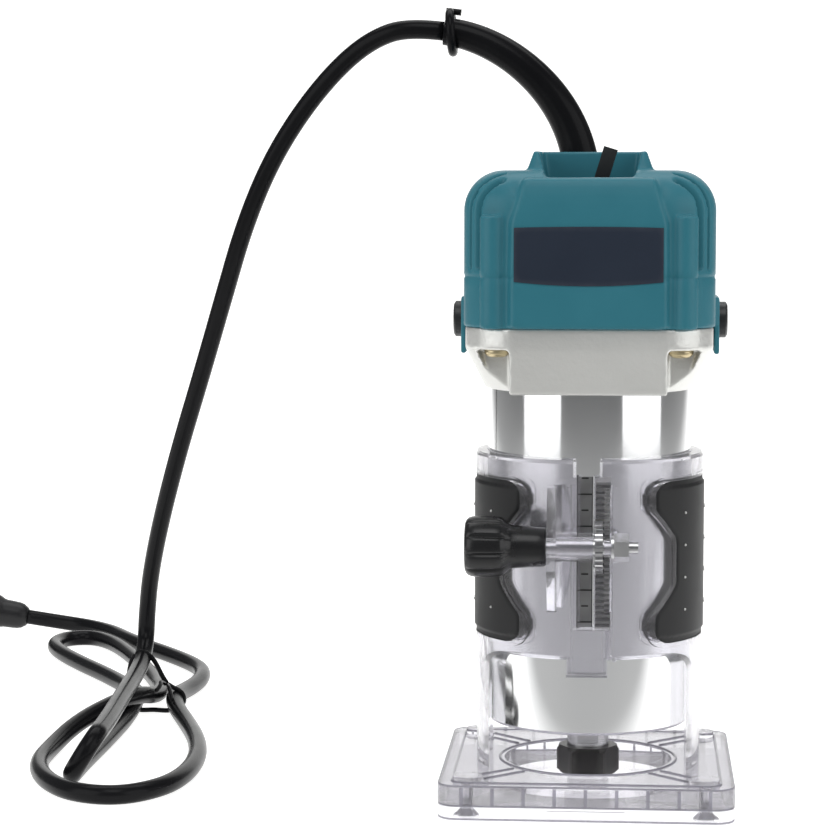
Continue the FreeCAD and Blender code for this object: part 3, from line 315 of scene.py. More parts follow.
looks = {
    "tealShell": {
        "colour": (0.030, 0.178, 0.232), "second": (0.038, 0.205, 0.262), "worn": (0.10, 0.33, 0.40),
        "roughness": 0.40, "grain": 1400.0, "bump": 0.25, "wear": 0.45, "specular": 0.28,
    },
    "castMetal": {
        "colour": (0.74, 0.74, 0.71), "second": (0.86, 0.86, 0.83), "worn": (0.92, 0.92, 0.90),
        "roughness": 0.34, "grain": 520.0, "bump": 0.8, "deep": 0.2, "metallic": 0.55, "spread": 0.3,
    },
    "polishedMetal": {
        "colour": (0.90, 0.91, 0.92), "second": (0.94, 0.94, 0.95), "worn": (0.97, 0.97, 0.97),
        "roughness": 0.10, "spread": 0.06, "grain": 300.0, "bump": 0.03, "metallic": 1.0, "dust": 0.0,
    },
    "blackRubber": {
        "colour": (0.011, 0.011, 0.012), "second": (0.018, 0.018, 0.019), "worn": (0.05, 0.05, 0.05),
        "roughness": 0.48, "grain": 1800.0, "bump": 0.5, "deep": 0.05, "specular": 0.3, "dust": 0.0,
    },
    "blackPlastic": {
        "colour": (0.010, 0.010, 0.011), "second": (0.016, 0.016, 0.017), "worn": (0.06, 0.06, 0.06),
        "roughness": 0.36, "grain": 1200.0, "bump": 0.2,
    },
    "knobPlastic": {
        "colour": (0.008, 0.008, 0.009), "second": (0.013, 0.013, 0.014), "worn": (0.05, 0.05, 0.05),
        "roughness": 0.28, "grain": 1200.0, "bump": 0.12, "specular": 0.4,
    },
    # light grey on the black rubber grip dots: painted highlight, the glints where the dots catch the light
    "dotPlastic": {
        "colour": (0.45, 0.45, 0.44), "second": (0.6, 0.6, 0.58), "worn": (0.5, 0.5, 0.5),
        "roughness": 0.2, "grain": 900.0, "bump": 0.0, "specular": 0.8,
    },
    "plugRubber": {
        "colour": (0.007, 0.007, 0.008), "second": (0.012, 0.012, 0.013), "worn": (0.04, 0.04, 0.04),
        "roughness": 0.42, "grain": 1100.0, "bump": 0.25, "specular": 0.3,
    },
    "cordSkin": {
        "colour": (0.006, 0.006, 0.007), "second": (0.010, 0.010, 0.011), "worn": (0.03, 0.03, 0.03),
        "roughness": 0.24, "grain": 900.0, "bump": 0.15, "wear": 0.1, "specular": 0.09, "dust": 0.0,
    },
    "zincScrew": {
        "colour": (0.52, 0.42, 0.24), "second": (0.62, 0.53, 0.34), "worn": (0.85, 0.80, 0.68),
        "roughness": 0.30, "grain": 900.0, "metallic": 1.0,
    },
    "scalePlate": {
        "colour": (0.22, 0.22, 0.225), "second": (0.30, 0.30, 0.30), "worn": (0.5, 0.5, 0.5),
        "roughness": 0.3, "grain": 500.0, "metallic": 0.8,
    },
    "rackTeeth": {
        "colour": (0.66, 0.66, 0.64), "second": (0.76, 0.76, 0.74), "worn": (0.9, 0.9, 0.9),
        "roughness": 0.3, "grain": 500.0, "metallic": 0.35,
    },
    "groundSteel": {
        "colour": (0.50, 0.50, 0.51), "second": (0.60, 0.60, 0.61), "worn": (0.85, 0.85, 0.85),
        "roughness": 0.26, "grain": 700.0, "metallic": 1.0,
    },
    "blackSteel": {
        "colour": (0.018, 0.017, 0.017), "second": (0.028, 0.026, 0.026), "worn": (0.22, 0.21, 0.20),
        "roughness": 0.38, "grain": 900.0, "metallic": 0.35,
    },
    "labelFilm": {
        "colour": (0.010, 0.018, 0.036), "second": (0.016, 0.026, 0.048), "worn": (0.1, 0.1, 0.12),
        "roughness": 0.34, "grain": 500.0, "bump": 0.05, "coat": 0.3,
    },
    "coilCopper": {
        "colour": (0.55, 0.22, 0.08), "second": (0.66, 0.30, 0.12), "worn": (0.85, 0.5, 0.3),
        "roughness": 0.35, "grain": 500.0, "metallic": 0.9,
    },
    "coreSteel": {
        "colour": (0.22, 0.22, 0.23), "second": (0.30, 0.30, 0.31), "worn": (0.5, 0.5, 0.5),
        "roughness": 0.45, "grain": 900.0, "metallic": 0.9,
    },
    "brushCarbon": {
        "colour": (0.02, 0.02, 0.02), "second": (0.035, 0.035, 0.035), "worn": (0.1, 0.1, 0.1),
        "roughness": 0.7, "grain": 1500.0,
    },
    "platedPin": {
        "colour": (0.70, 0.68, 0.60), "second": (0.80, 0.78, 0.70), "worn": (0.9, 0.9, 0.85),
        "roughness": 0.2, "grain": 600.0, "metallic": 1.0,
    },
}
# name, clarity, roughness, opacity and tint
clearLooks = [
    ("clearPlastic", 0.93, 0.03, 0.88, (0.88, 0.87, 0.91)),
    ("protectorPlastic", 0.8, 0.06, 0.86, (0.72, 0.71, 0.76)),
    ("frostedPlastic", 0.6, 0.16, 0.92, (0.46, 0.45, 0.51)),
]
finishes = {name: finishedMaterial(name, look) for name, look in looks.items()}
finishes.update({look[0]: clearMaterial(*look) for look in clearLooks})

slotFinish = {
    "clear_polycarbonate": "clearPlastic", "zinc_screw": "zincScrew", "grip_rubber": "blackRubber",
    "black_plastic": "blackPlastic", "plug_plastic": "blackRubber", "steel": "groundSteel",
    "black_steel": "blackSteel", "plated_brass": "platedPin", "polished_aluminium": "polishedMetal",
    "cast_aluminium": "castMetal", "teal_plastic": "tealShell", "dark_label": "labelFilm",
    "core_steel": "coreSteel", "copper": "coilCopper", "carbon": "brushCarbon", "cord_rubber": "cordSkin",
}


def dress(piece, finish):
    piece.data.materials.clear()
    piece.data.materials.append(finishes[finish])


for part in frame["record"]["subparts"]:
    dress(nodes[part["node"]], slotFinish[part["material_slot"]])
makeCamera()
makeStage()
makeLights()
print("camera, stage, lights and materials made")


# helpers shared by the pieces below
def shadeFaces(piece, smooth):
    for face in piece.data.polygons:
        face.use_smooth = smooth


# the faces of a skin through rings of points, with a cap at each end
def ringFaces(rings, sides):
    faces = []
    for ring in range(rings - 1):
        for corner in range(sides):
            after = (corner + 1) % sides
            faces.append((ring * sides + corner, ring * sides + after,
                          (ring + 1) * sides + after, (ring + 1) * sides + corner))
    faces.append(tuple(range(sides - 1, -1, -1)))
    faces.append(tuple((rings - 1) * sides + corner for corner in range(sides)))
    return faces


# turns a piece's faces outward, after joining points that lie closer than a distance
def faceOutward(piece, joinWithin=None):
    shape = bmesh.new()
    shape.from_mesh(piece.data)
    if joinWithin:
        bmesh.ops.remove_doubles(shape, verts=shape.verts, dist=joinWithin)
    bmesh.ops.recalc_face_normals(shape, faces=shape.faces)
    shape.to_mesh(piece.data)
    shape.free()
    return piece


# control points of the cord's centreline, from the guard to the plug
cord = {
    "radius": 3.15, "sides": 20, "resolution": 10,
    "drop": [
        (-49.1, 28.5, 246.2), (-60.7, 28.5, 247.6), (-72.5, 31.0, 244.0), (-84.4, 35.5, 235.2),
        (-97.5, 40.5, 220.5), (-109.5, 47.0, 202.5), (-119.5, 55.5, 181.0), (-128.0, 66.0, 157.0),
        (-138.0, 79.0, 129.0), (-148.5, 93.0, 101.0), (-158.0, 108.0, 73.0), (-164.5, 122.0, 51.0),
        (-167.5, 131.0, 35.0),
    ],
    "hank": [
        (-167.8, 130.0, 24.5), (-167.3, 118.0, 18.5), (-166.4, 98.0, 17.2), (-164.8, 72.0, 17.0),
        (-163.0, 45.0, 17.0), (-161.2, 20.0, 17.0), (-160.4, 2.2, 17.0), (-160.2, -6.8, 17.0),
        (-164.4, -11.4, 10.1), (-168.7, -6.8, 3.2), (-168.9, 2.2, 3.2), (-169.0, 14.0, 3.2),
        (-168.6, 36.0, 3.2), (-168.2, 66.0, 3.2), (-168.2, 94.0, 3.4), (-168.8, 114.0, 5.4),
        (-171.0, 130.0, 5.0), (-179.0, 152.0, 3.2), (-192.0, 176.0, 3.2), (-208.0, 202.0, 3.2),
        (-221.0, 226.0, 3.2), (-227.5, 244.0, 3.2), (-225.0, 259.0, 3.2), (-214.0, 263.0, 3.2),
        (-203.5, 250.0, 3.2), (-194.5, 231.0, 3.2), (-184.5, 206.0, 3.2), (-175.0, 180.0, 3.2),
        (-167.0, 154.0, 3.4), (-162.8, 135.0, 5.2), (-162.4, 118.0, 6.4), (-165.5, 102.0, 9.8),
        (-172.0, 84.0, 9.8), (-180.5, 62.0, 7.0), (-184.5, 38.0, 3.4), (-184.0, 12.0, 3.2),
        (-176.5, -12.0, 3.2), (-164.0, -30.0, 3.2), (-148.0, -34.5, 3.2), (-136.0, -21.0, 3.2),
        (-131.5, 0.0, 3.2), (-132.0, 28.0, 3.2), (-137.0, 56.0, 3.2), (-145.0, 84.0, 3.2),
        (-152.5, 106.0, 4.2), (-156.2, 122.0, 5.4), (-155.6, 138.0, 4.0), (-153.8, 156.0, 3.2),
        (-153.2, 172.0, 3.2), (-155.6, 188.0, 3.2), (-161.6, 202.0, 3.2), (-170.6, 217.0, 3.2),
    ],
    "tail": [
        (-180.0, 231.0, 3.2), (-190.0, 245.0, 3.2), (-199.4, 260.6, 3.2), (-208.2, 276.6, 3.2),
        (-220.0, 289.0, 3.4), (-234.5, 294.2, 4.4), (-250.0, 293.6, 6.8),
    ],
}


# the smooth line that a NURBS spline draws through its control points, as a list of points
def splineLine(name, route, resolution):
    curve = bpy.data.curves.new(name, "CURVE")
    curve.dimensions = "3D"
    curve.resolution_u = resolution
    spline = curve.splines.new("NURBS")
    spline.points.add(len(route) - 1)
    for point, place in zip(spline.points, route):
        point.co = (*(Vector(place) * mm), 1)
    spline.order_u = 3
    spline.use_endpoint_u = True
    holder = bpy.data.objects.new(name, curve)
    scene.collection.objects.link(holder)
    drawn = bpy.data.meshes.new_from_object(holder.evaluated_get(bpy.context.evaluated_depsgraph_get()))
    line = [vertex.co.copy() for vertex in drawn.vertices]
    bpy.data.objects.remove(holder)
    bpy.data.meshes.remove(drawn)
    return line


# a tangent and two cross directions at each point, without twist
def framesAlong(line):
    frames = []
    side = (line[1] - line[0]).normalized().orthogonal().normalized()
    for index, point in enumerate(line):
        ahead = line[min(index + 1, len(line) - 1)] - line[max(index - 1, 0)]
        tangent = ahead.normalized()
        side = (side - tangent * side.dot(tangent)).normalized()
        frames.append((point, tangent, side, tangent.cross(side)))
    return frames


# a tube round a line, closed at both ends
def tubeMesh(name, line, radius, sides):
    points = []
    for point, tangent, side, up in framesAlong(line):
        for corner in range(sides):
            angle = 2 * math.pi * corner / sides
            points.append(point + side * (radius * math.cos(angle)) + up * (radius * math.sin(angle)))
    return meshFrom(name, points, ringFaces(len(line), sides))


# the whole cord from guard to plug as one piece
def makeCord():
    line = splineLine("cordLine", cord["drop"] + cord["hank"] + cord["tail"], cord["resolution"])
    piece = addObject("mainsCord", tubeMesh("mainsCord", line, cord["radius"] * mm, cord["sides"]))
    dress(piece, "cordSkin")
    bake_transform(piece)
    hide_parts("cord_drop", "cord_hank", "cord_tail")
    makePlug()


# one merged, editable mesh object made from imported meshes
def copyOf(*names):
    mesh = bpy.data.meshes.new("copyOf" + names[0])
    shape = bmesh.new()
    for name in names:
        shape.from_mesh(nodes[name].data)
    bmesh.ops.remove_doubles(shape, verts=shape.verts, dist=0.00001)
    bmesh.ops.recalc_face_normals(shape, faces=shape.faces)
    shape.to_mesh(mesh)
    shape.free()
    mesh.materials.clear()
    return addObject("copyOf" + names[0], mesh)


# applies a piece's modifiers and gives it its final name
def settle(piece, name):
    drawn = bpy.data.meshes.new_from_object(piece.evaluated_get(bpy.context.evaluated_depsgraph_get()))
    piece.modifiers.clear()
    piece.data = drawn
    piece.name = name
    drawn.name = name
    return piece


# puts the other pieces' meshes into the first one
def addMesh(target, *others):
    shape = bmesh.new()
    shape.from_mesh(target.data)
    for other in others:
        shape.from_mesh(other.data)
        bpy.data.objects.remove(other)
    shape.to_mesh(target.data)
    shape.free()
    return target


def carve(piece, *cutters):
    for cutter in cutters:
        modifier = piece.modifiers.new("carve", "BOOLEAN")
        modifier.operation = "DIFFERENCE"
        modifier.solver = "EXACT"
        modifier.object = cutter
    settle(piece, piece.name)
    for cutter in cutters:
        bpy.data.objects.remove(cutter)
    return piece


# thins a dense piece to about this many triangles
def thinTo(piece, most):
    count = len(piece.data.polygons) * 2
    if count > most:
        thin = piece.modifiers.new("thin", "DECIMATE")
        thin.ratio = most / count
        settle(piece, piece.name)


# melts overlapping solids into one skin with soft, moulded edges
def mould(piece, name, voxel, rounds, keep=None):
    remesh = piece.modifiers.new("melt", "REMESH")
    remesh.mode = "VOXEL"
    remesh.voxel_size = voxel * mm
    remesh.use_smooth_shade = True
    ease = piece.modifiers.new("ease", "SMOOTH")
    ease.factor = 0.5
    ease.iterations = rounds
    settle(piece, name)
    if keep:
        thinTo(piece, keep)
    shadeFaces(piece, True)
    return piece


# a closed skin through rings of the same number of points, in millimetres
def closedLoft(name, rings):
    points = [Vector(p) * mm for ring in rings for p in ring]
    faces = ringFaces(len(rings), len(rings[0]))
    return faceOutward(addObject(name, meshFrom(name, points, faces)))


def boxPiece(name, low, high):
    (x0, y0, z0), (x1, y1, z1) = low, high
    return closedLoft(name, [[(x0, y0, z), (x1, y0, z), (x1, y1, z), (x0, y1, z)] for z in (z0, z1)])


# turns (along, radius) pairs in millimetres round an axis; flutes may change a radius by angle
def latheMesh(name, profile, origin, axis, sides=96, flutes=None):
    axis = Vector(axis).normalized()
    side = axis.orthogonal().normalized()
    up = axis.cross(side)
    points = []
    for along, radius in profile:
        for corner in range(sides):
            angle = 2 * math.pi * corner / sides
            reach = flutes(along, radius, angle) if flutes else radius
            points.append((Vector(origin) + axis * along + side * (reach * math.cos(angle))
                           + up * (reach * math.sin(angle))) * mm)
    mesh = meshFrom(name, points, ringFaces(len(profile), sides))
    return faceOutward(addObject(name, mesh), 0.000001)


head = {
    "voxel": 0.55, "soften": 4, "most": 170000,
    # rows of the raised front panel: depth, height, half width
    "panel": [
        (-40.9, 152.6, 24.2), (-40.9, 172.0, 24.2), (-40.9, 184.6, 24.0), (-40.8, 187.5, 23.2),
        (-40.5, 190.4, 22.3), (-40.0, 193.2, 21.5), (-39.3, 195.8, 20.9), (-38.6, 197.5, 20.6),
        (-37.6, 198.3, 20.4), (-28.0, 198.4, 20.2), (-16.5, 198.4, 20.0),
    ],
    "panelDeep": 5.0, "panelEdge": 0.9, "panelFlare": 1.2,
    # the seam line is pressed only into faces this far out, square or round
    "seamHeight": 167.7, "seamHalf": 0.5, "seamDeep": 0.35, "seamSquare": 37.0, "seamRound": 45.0,
}


# the head shell with its raised front panel and its seam line
def makeHead():
    shell = copyOf("head_cover")
    rings = []
    edge, deep, flare = head["panelEdge"], head["panelDeep"], head["panelFlare"]
    for index, (y, z, half) in enumerate(head["panel"]):
        before = head["panel"][max(index - 1, 0)]
        after = head["panel"][min(index + 1, len(head["panel"]) - 1)]
        along = Vector((after[0] - before[0], after[1] - before[1])).normalized()
        back = Vector((along.y, -along.x)) * deep
        yEdge, zEdge = y + edge * back.x / deep, z + edge * back.y / deep
        yBack, zBack = y + back.x, z + back.y
        rings.append([(-half, yEdge, zEdge), (-half + edge, y, z), (half - edge, y, z), (half, yEdge, zEdge),
                      (half + flare, yBack, zBack), (-half - flare, yBack, zBack)])
    panel = closedLoft("frontPanel", rings)
    addMesh(shell, panel)
    mould(shell, "motorHead", head["voxel"], head["soften"])
    shape = bmesh.new()
    shape.from_mesh(shell.data)
    for vertex in shape.verts:
        place = vertex.co / mm
        gap = abs(place.z - head["seamHeight"])
        square = max(abs(place.x), abs(place.y)) > head["seamSquare"]
        outer = square or math.hypot(abs(place.x), abs(place.y)) > head["seamRound"]
        if gap < head["seamHalf"] and outer:
            outward = Vector((vertex.normal.x, vertex.normal.y, 0))
            if outward.length > 0.3:
                sink = head["seamDeep"] * mm * (1 - gap / head["seamHalf"]) ** 0.5
                vertex.co -= outward.normalized() * sink
    shape.to_mesh(shell.data)
    shape.free()
    dress(shell, "tealShell")
    thinTo(shell, head["most"])
    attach(shell, "motor")
    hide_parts("head_cover")
    print("motor head faces", len(shell.data.polygons))


label = {
    "half": 22.8, "low": 166.6, "high": 183.4, "bow": 1.3, "topDrop": 0.3, "topBow": 0.25,
    "front": -41.15, "thick": 0.35, "rows": 12, "columns": 40,
}


# the blank name plate, with softly bowed long edges
def makeLabel():
    rows, columns = label["rows"], label["columns"]
    points, faces = [], []
    for depth in (label["front"], label["front"] + label["thick"]):
        for row in range(rows + 1):
            for column in range(columns + 1):
                share = column / columns * 2 - 1
                bow = label["bow"] * (1 - share * share)
                low, high = label["low"] - bow, label["high"] - label["topDrop"] + bow * label["topBow"]
                z = low + (high - low) * row / rows
                points.append(Vector((share * label["half"], depth, z)) * mm)
    wide = columns + 1
    layerSize = (rows + 1) * wide
    for row in range(rows):
        for column in range(columns):
            a = row * wide + column
            faces.append((a, a + 1, a + 1 + wide, a + wide))
            b = a + layerSize
            faces.append((b + wide, b + 1 + wide, b + 1, b))
    rim = ([c for c in range(columns)], [columns + r * wide for r in range(rows)],
           [rows * wide + columns - c for c in range(columns)], [(rows - r) * wide for r in range(rows)])
    loop = [index for side in rim for index in side]
    for here, after in zip(loop, loop[1:] + loop[:1]):
        faces.append((after, here, here + layerSize, after + layerSize))
    piece = faceOutward(addObject("namePlate", meshFrom("namePlate", points, faces, False)))
    dress(piece, "labelFilm")
    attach(piece, "motor")
    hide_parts("label_plate")


casting = {
    "voxel": 0.6, "soften": 2, "most": 150000,
    "low": 131.5, "bendWas": 142.6, "bend": 145.4, "high": 152.0,
}


# the cast bracket, with its screw seats raised a little
def makeCasting():
    piece = copyOf("upper_bracket")
    for vertex in piece.data.vertices:
        z = vertex.co.z / mm
        if z < casting["bendWas"]:
            share = (z - casting["low"]) / (casting["bendWas"] - casting["low"])
            z = casting["low"] + share * (casting["bend"] - casting["low"])
        else:
            share = (z - casting["bendWas"]) / (casting["high"] - casting["bendWas"])
            z = casting["bend"] + share * (casting["high"] - casting["bend"])
        vertex.co.z = z * mm
    mould(piece, "castBracket", casting["voxel"], casting["soften"], casting["most"])
    dress(piece, "castMetal")
    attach(piece, "motor")
    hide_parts("upper_bracket")


# a geometry node group, for details that repeat
def newTree(name, inputs):
    tree = bpy.data.node_groups.new(name, "GeometryNodeTree")
    kinds = {"vector": "NodeSocketVector", "count": "NodeSocketInt", "size": "NodeSocketFloat",
             "piece": "NodeSocketObject", "finish": "NodeSocketMaterial", "mesh": "NodeSocketGeometry"}
    for title, kind in inputs:
        tree.interface.new_socket(title, in_out="INPUT", socket_type=kinds[kind])
    tree.interface.new_socket("Geometry", in_out="OUTPUT", socket_type="NodeSocketGeometry")
    return tree, tree.nodes.new("NodeGroupInput"), tree.nodes.new("NodeGroupOutput")


def finishTree(tree, given, result, instances):
    real = tree.nodes.new("GeometryNodeRealizeInstances")
    paint = tree.nodes.new("GeometryNodeSetMaterial")
    tree.links.new(instances, real.inputs["Geometry"])
    tree.links.new(real.outputs["Geometry"], paint.inputs["Geometry"])
    tree.links.new(given.outputs["Finish"], paint.inputs["Material"])
    tree.links.new(paint.outputs["Geometry"], result.inputs["Geometry"])


# a straight row of bars or of beads: where it starts, the step, how many and how large
def makeRowTree(name, shapeKind):
    tree, given, result = newTree(name, [("Geometry", "mesh"), ("Start", "vector"), ("Step", "vector"),
                                         ("Count", "count"), ("Size", "vector"), ("Finish", "finish")])
    line = tree.nodes.new("GeometryNodeMeshLine")
    line.mode = "OFFSET"
    tree.links.new(given.outputs["Start"], line.inputs["Start Location"])
    tree.links.new(given.outputs["Step"], line.inputs["Offset"])
    tree.links.new(given.outputs["Count"], line.inputs["Count"])
    one = tree.nodes.new("GeometryNodeMeshCube" if shapeKind == "bar" else "GeometryNodeMeshIcoSphere")
    if shapeKind == "bead":
        setInputs(one, {"Subdivisions": 2, "Radius": 0.5})
    spread = tree.nodes.new("GeometryNodeInstanceOnPoints")
    tree.links.new(line.outputs["Mesh"], spread.inputs["Points"])
    tree.links.new(one.outputs["Mesh"], spread.inputs["Instance"])
    tree.links.new(given.outputs["Size"], spread.inputs["Scale"])
    finishTree(tree, given, result, spread.outputs["Instances"])
    return tree


# copies of one small piece at every point of the given mesh
def makeCopyTree(name):
    tree, given, result = newTree(name, [("Geometry", "mesh"), ("Piece", "piece"), ("Turn", "vector"),
                                         ("Finish", "finish")])
    fetch = tree.nodes.new("GeometryNodeObjectInfo")
    tree.links.new(given.outputs["Piece"], fetch.inputs["Object"])
    spread = tree.nodes.new("GeometryNodeInstanceOnPoints")
    turn = tree.nodes.new("FunctionNodeEulerToRotation")
    tree.links.new(given.outputs["Turn"], turn.inputs["Euler"])
    tree.links.new(turn.outputs["Rotation"], spread.inputs["Rotation"])
    tree.links.new(given.outputs["Geometry"], spread.inputs["Points"])
    tree.links.new(fetch.outputs["Geometry"], spread.inputs["Instance"])
    finishTree(tree, given, result, spread.outputs["Instances"])
    return tree


rowOfBars = makeRowTree("rowOfBars", "bar")
rowOfBeads = makeRowTree("rowOfBeads", "bead")
copiesAtPoints = makeCopyTree("copiesAtPoints")


# runs a tree once on a new piece and keeps only its plain mesh
def grow(name, tree, values, points=()):
    piece = addObject(name, meshFrom(name, [Vector(p) * mm for p in points], []))
    modifier = piece.modifiers.new("grow", "NODES")
    modifier.node_group = tree
    for item in tree.interface.items_tree:
        if item.item_type == "SOCKET" and item.in_out == "INPUT" and item.name in values:
            modifier[item.identifier] = values[item.name]
    settle(piece, name)
    return piece


def row(name, tree, start, step, count, size, finish):
    return grow(name, tree, {"Start": [v * mm for v in start], "Step": [v * mm for v in step], "Count": count,
                             "Size": [v * mm for v in size], "Finish": finishes[finish]})


# joins finished rows into one piece that rides on one body
def gather(name, finish, body, pieces):
    joined = pieces[0]
    if len(pieces) > 1:
        addMesh(joined, *pieces[1:])
    joined.name = name
    dress(joined, finish)
    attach(joined, body)
    return joined


scale = {
    "x": -0.8, "front": -32.38, "low": 60.5, "high": 105.0, "pitch": 5.0,
    "long": 4.6, "short": 2.2, "line": 0.5, "proud": 0.12, "edgeWide": 0.35, "edgeOver": 3,
    "rackX": 4.7, "rackFront": -32.2, "toothPitch": 1.885, "toothLow": 59.6, "teeth": 24,
    # the size of the black bars put in the rack's tooth gaps as painted shade
    "gapShadeSize": (4.4, 0.6, 0.95),
}


# dark lines on the depth scale, and black bars in the gaps between the rack's teeth as painted shade
def makeScaleMarks():
    x, front, low, high = scale["x"], scale["front"], scale["low"], scale["high"]
    proud, line = scale["proud"], scale["line"]
    count = int((high - low) / (2 * scale["pitch"])) + 1
    step = (0, 0, 2 * scale["pitch"])
    rows = [
        ("longMarks", (x, front, low), step, count, (scale["long"], proud, line)),
        ("shortMarks", (x, front, low + scale["pitch"]), step, count, (scale["short"], proud, line)),
        ("scaleEdges", (x - scale["long"] / 2, front, (low + high) / 2), (scale["long"], 0, 0), 2,
         (scale["edgeWide"], proud, high - low + scale["edgeOver"])),
        # black bars in the rack's tooth gaps: painted shade
        ("rackGaps", (scale["rackX"], scale["rackFront"], scale["toothLow"]), (0, 0, scale["toothPitch"]),
         scale["teeth"], scale["gapShadeSize"]),
    ]
    marks = [row(name, rowOfBars, *rest, "blackPlastic") for name, *rest in rows]
    gather("scaleMarks", "blackPlastic", "motor", marks)


screw = {
    "headRadius": 3.95, "headHigh": 2.7, "slotWide": 0.9, "slotLong": 5.0, "slotDeep": 1.1,
    "edge": 0.25, "sideHigh": 0.9, "crown": 0.35, "flat": 0.3, "turn": 20, "pitch": 57.0, "seat": 145.4,
}


# pan heads with a cross recess, pointing down under the casting's four corners
def makeHeadScrews():
    radius, high, side, crown = screw["headRadius"], screw["headHigh"], screw["sideHigh"], screw["crown"]
    profile = [(0.0, 0.0), (0.0, radius - screw["edge"]), (screw["edge"], radius)]
    for step in range(1, 7):
        angle = step / 7 * math.pi / 2
        profile.append((side + (high - side) * math.sin(angle),
                        radius * (crown + (1 - crown) * math.cos(angle))))
    profile += [(high, radius * screw["flat"]), (high, 0.0)]
    one = latheMesh("panHead", profile, (0, 0, 0), (0, 0, -1), 40)
    long, wide = screw["slotLong"] / 2, screw["slotWide"] / 2
    low, top = -high - 1, -high + screw["slotDeep"]
    carve(one, *[boxPiece(name, (-x, -y, low), (x, y, top))
                 for name, x, y in (("slotAcross", long, wide), ("slotAlong", wide, long))])
    half = screw["pitch"] / 2
    spots = [(sx * half, sy * half, screw["seat"]) for sx in (-1, 1) for sy in (-1, 1)]
    turn = [0, 0, math.radians(screw["turn"])]
    values = {"Piece": one, "Turn": turn, "Finish": finishes["zincScrew"]}
    made = grow("headScrews", copiesAtPoints, values, spots)
    bpy.data.objects.remove(one)
    gather("headScrews", "zincScrew", "motor", [made])
    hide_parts("head_screws")


knob = {
    "start": -37.7, "reach": 38.6, "height": 84.7, "flutes": 10, "fluteDeep": 0.85,
    "headLong": 11.7, "coneLong": 2.4, "collarLong": 11.0,
    # along and radius: from the outer face, from the end of the cone, and from the inner end
    "face": [(0.9, 0.0), (0.9, 5.4), (0.35, 6.0), (0.0, 6.6), (0.05, 7.4), (0.5, 8.4), (1.2, 9.0),
             (2.2, 9.35), (3.6, 9.5), (6.0, 9.5), (9.0, 9.4), (11.0, 9.2), (11.7, 8.9), (12.5, 8.2)],
    "cone": [(-0.5, 7.1), (0.6, 6.7), (3, 6.5)],
    "inner": [(-3, 6.15), (-0.6, 6.0), (0, 5.6), (0, 2.9), (0, 0.0)],
    "fluteOutside": 7.0, "fluteFrom": 0.6, "fadeIn": 2.2, "fadeOut": 2.6,
    "soften": 0.15, "softenAngle": 40,
}


# the fluted depth knob
def makeKnob():
    coneEnd = knob["headLong"] + knob["coneLong"]
    total = coneEnd + knob["collarLong"]
    profile = list(knob["face"])
    for start, rows in ((coneEnd, knob["cone"]), (total, knob["inner"])):
        profile += [(start + along, radius) for along, radius in rows]

    def flutes(along, radius, angle):
        if radius < knob["fluteOutside"] or along > coneEnd:
            return radius
        fade = min(1.0, max(0.0, (along - knob["fluteFrom"]) / knob["fadeIn"]),
                   max(0.0, (coneEnd - along) / knob["fadeOut"]))
        wave = max(0.0, math.cos(angle * knob["flutes"])) ** 5
        return radius - knob["fluteDeep"] * wave * fade

    place = (knob["start"], -knob["reach"], knob["height"])
    piece = latheMesh("depthKnob", profile, place, (1, 0, 0), 160, flutes)
    soften = piece.modifiers.new("soften", "BEVEL")
    soften.width = knob["soften"] * mm
    soften.segments = 2
    soften.limit_method = "ANGLE"
    soften.angle_limit = math.radians(knob["softenAngle"])
    settle(piece, "depthKnob")
    shadeFaces(piece, True)
    dress(piece, "knobPlastic")
    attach(piece, "pinion")
    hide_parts("depth_knob")


grip = {
    "voxel": 0.5, "soften": 3, "border": 2.3, "step": 0.55, "stepSlope": 0.5, "most": 60000,
    "outer": 36.8, "rimDeep": 1.2, "rimFacing": 0.35, "faceFacing": 0.5,
    "dotPitch": 10.2, "dots": 4, "dotLow": 63.0, "dotSize": 0.9, "columns": (56.0, 86.0, 94.0, 124.0),
}


# a rubber grip with a lower border all round and rows of small dots, which are coloured light grey as painted
# highlights
def makeGrip(side, node):
    piece = copyOf(node)
    mould(piece, node + "Moulded", grip["voxel"], grip["soften"])
    shape = bmesh.new()
    shape.from_mesh(piece.data)
    shape.normal_update()
    rim = []
    nearest = (grip["outer"] - grip["rimDeep"]) * mm
    for vertex in shape.verts:
        radial = Vector((vertex.co.x, vertex.co.y, 0)).normalized()
        reach = Vector((vertex.co.x, vertex.co.y)).length
        if vertex.normal.dot(radial) < grip["rimFacing"] and reach > nearest:
            rim.append(vertex.co.copy())
    tree = KDTree(len(rim))
    for index, place in enumerate(rim):
        tree.insert(place, index)
    tree.balance()
    moves = []
    for vertex in shape.verts:
        radial = Vector((vertex.co.x, vertex.co.y, 0)).normalized()
        if vertex.normal.dot(radial) > grip["faceFacing"]:
            gap = tree.find(vertex.co)[2] / mm
            if gap < grip["border"]:
                share = min(1.0, (grip["border"] - gap) / grip["stepSlope"])
                moves.append((vertex, radial * (grip["step"] * share * mm)))
    for vertex, move in moves:
        vertex.co -= move
    shape.to_mesh(piece.data)
    shape.free()
    thinTo(piece, grip["most"])
    shadeFaces(piece, True)
    dress(piece, "blackRubber")
    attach(piece, "base")
    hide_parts(node)
    rows = []
    for column, angle in enumerate(grip["columns"]):
        turn = math.radians(angle)
        start = (side * grip["outer"] * math.sin(turn), -grip["outer"] * math.cos(turn), grip["dotLow"])
        rows.append(row(node + "Dots" + str(column), rowOfBeads, start, (0, 0, grip["dotPitch"]),
                        grip["dots"], (grip["dotSize"],) * 3, "blackRubber"))
    # the dots wear a light grey finish that paints their glints as highlights
    gather(node + "Dots", "dotPlastic", "base", rows)


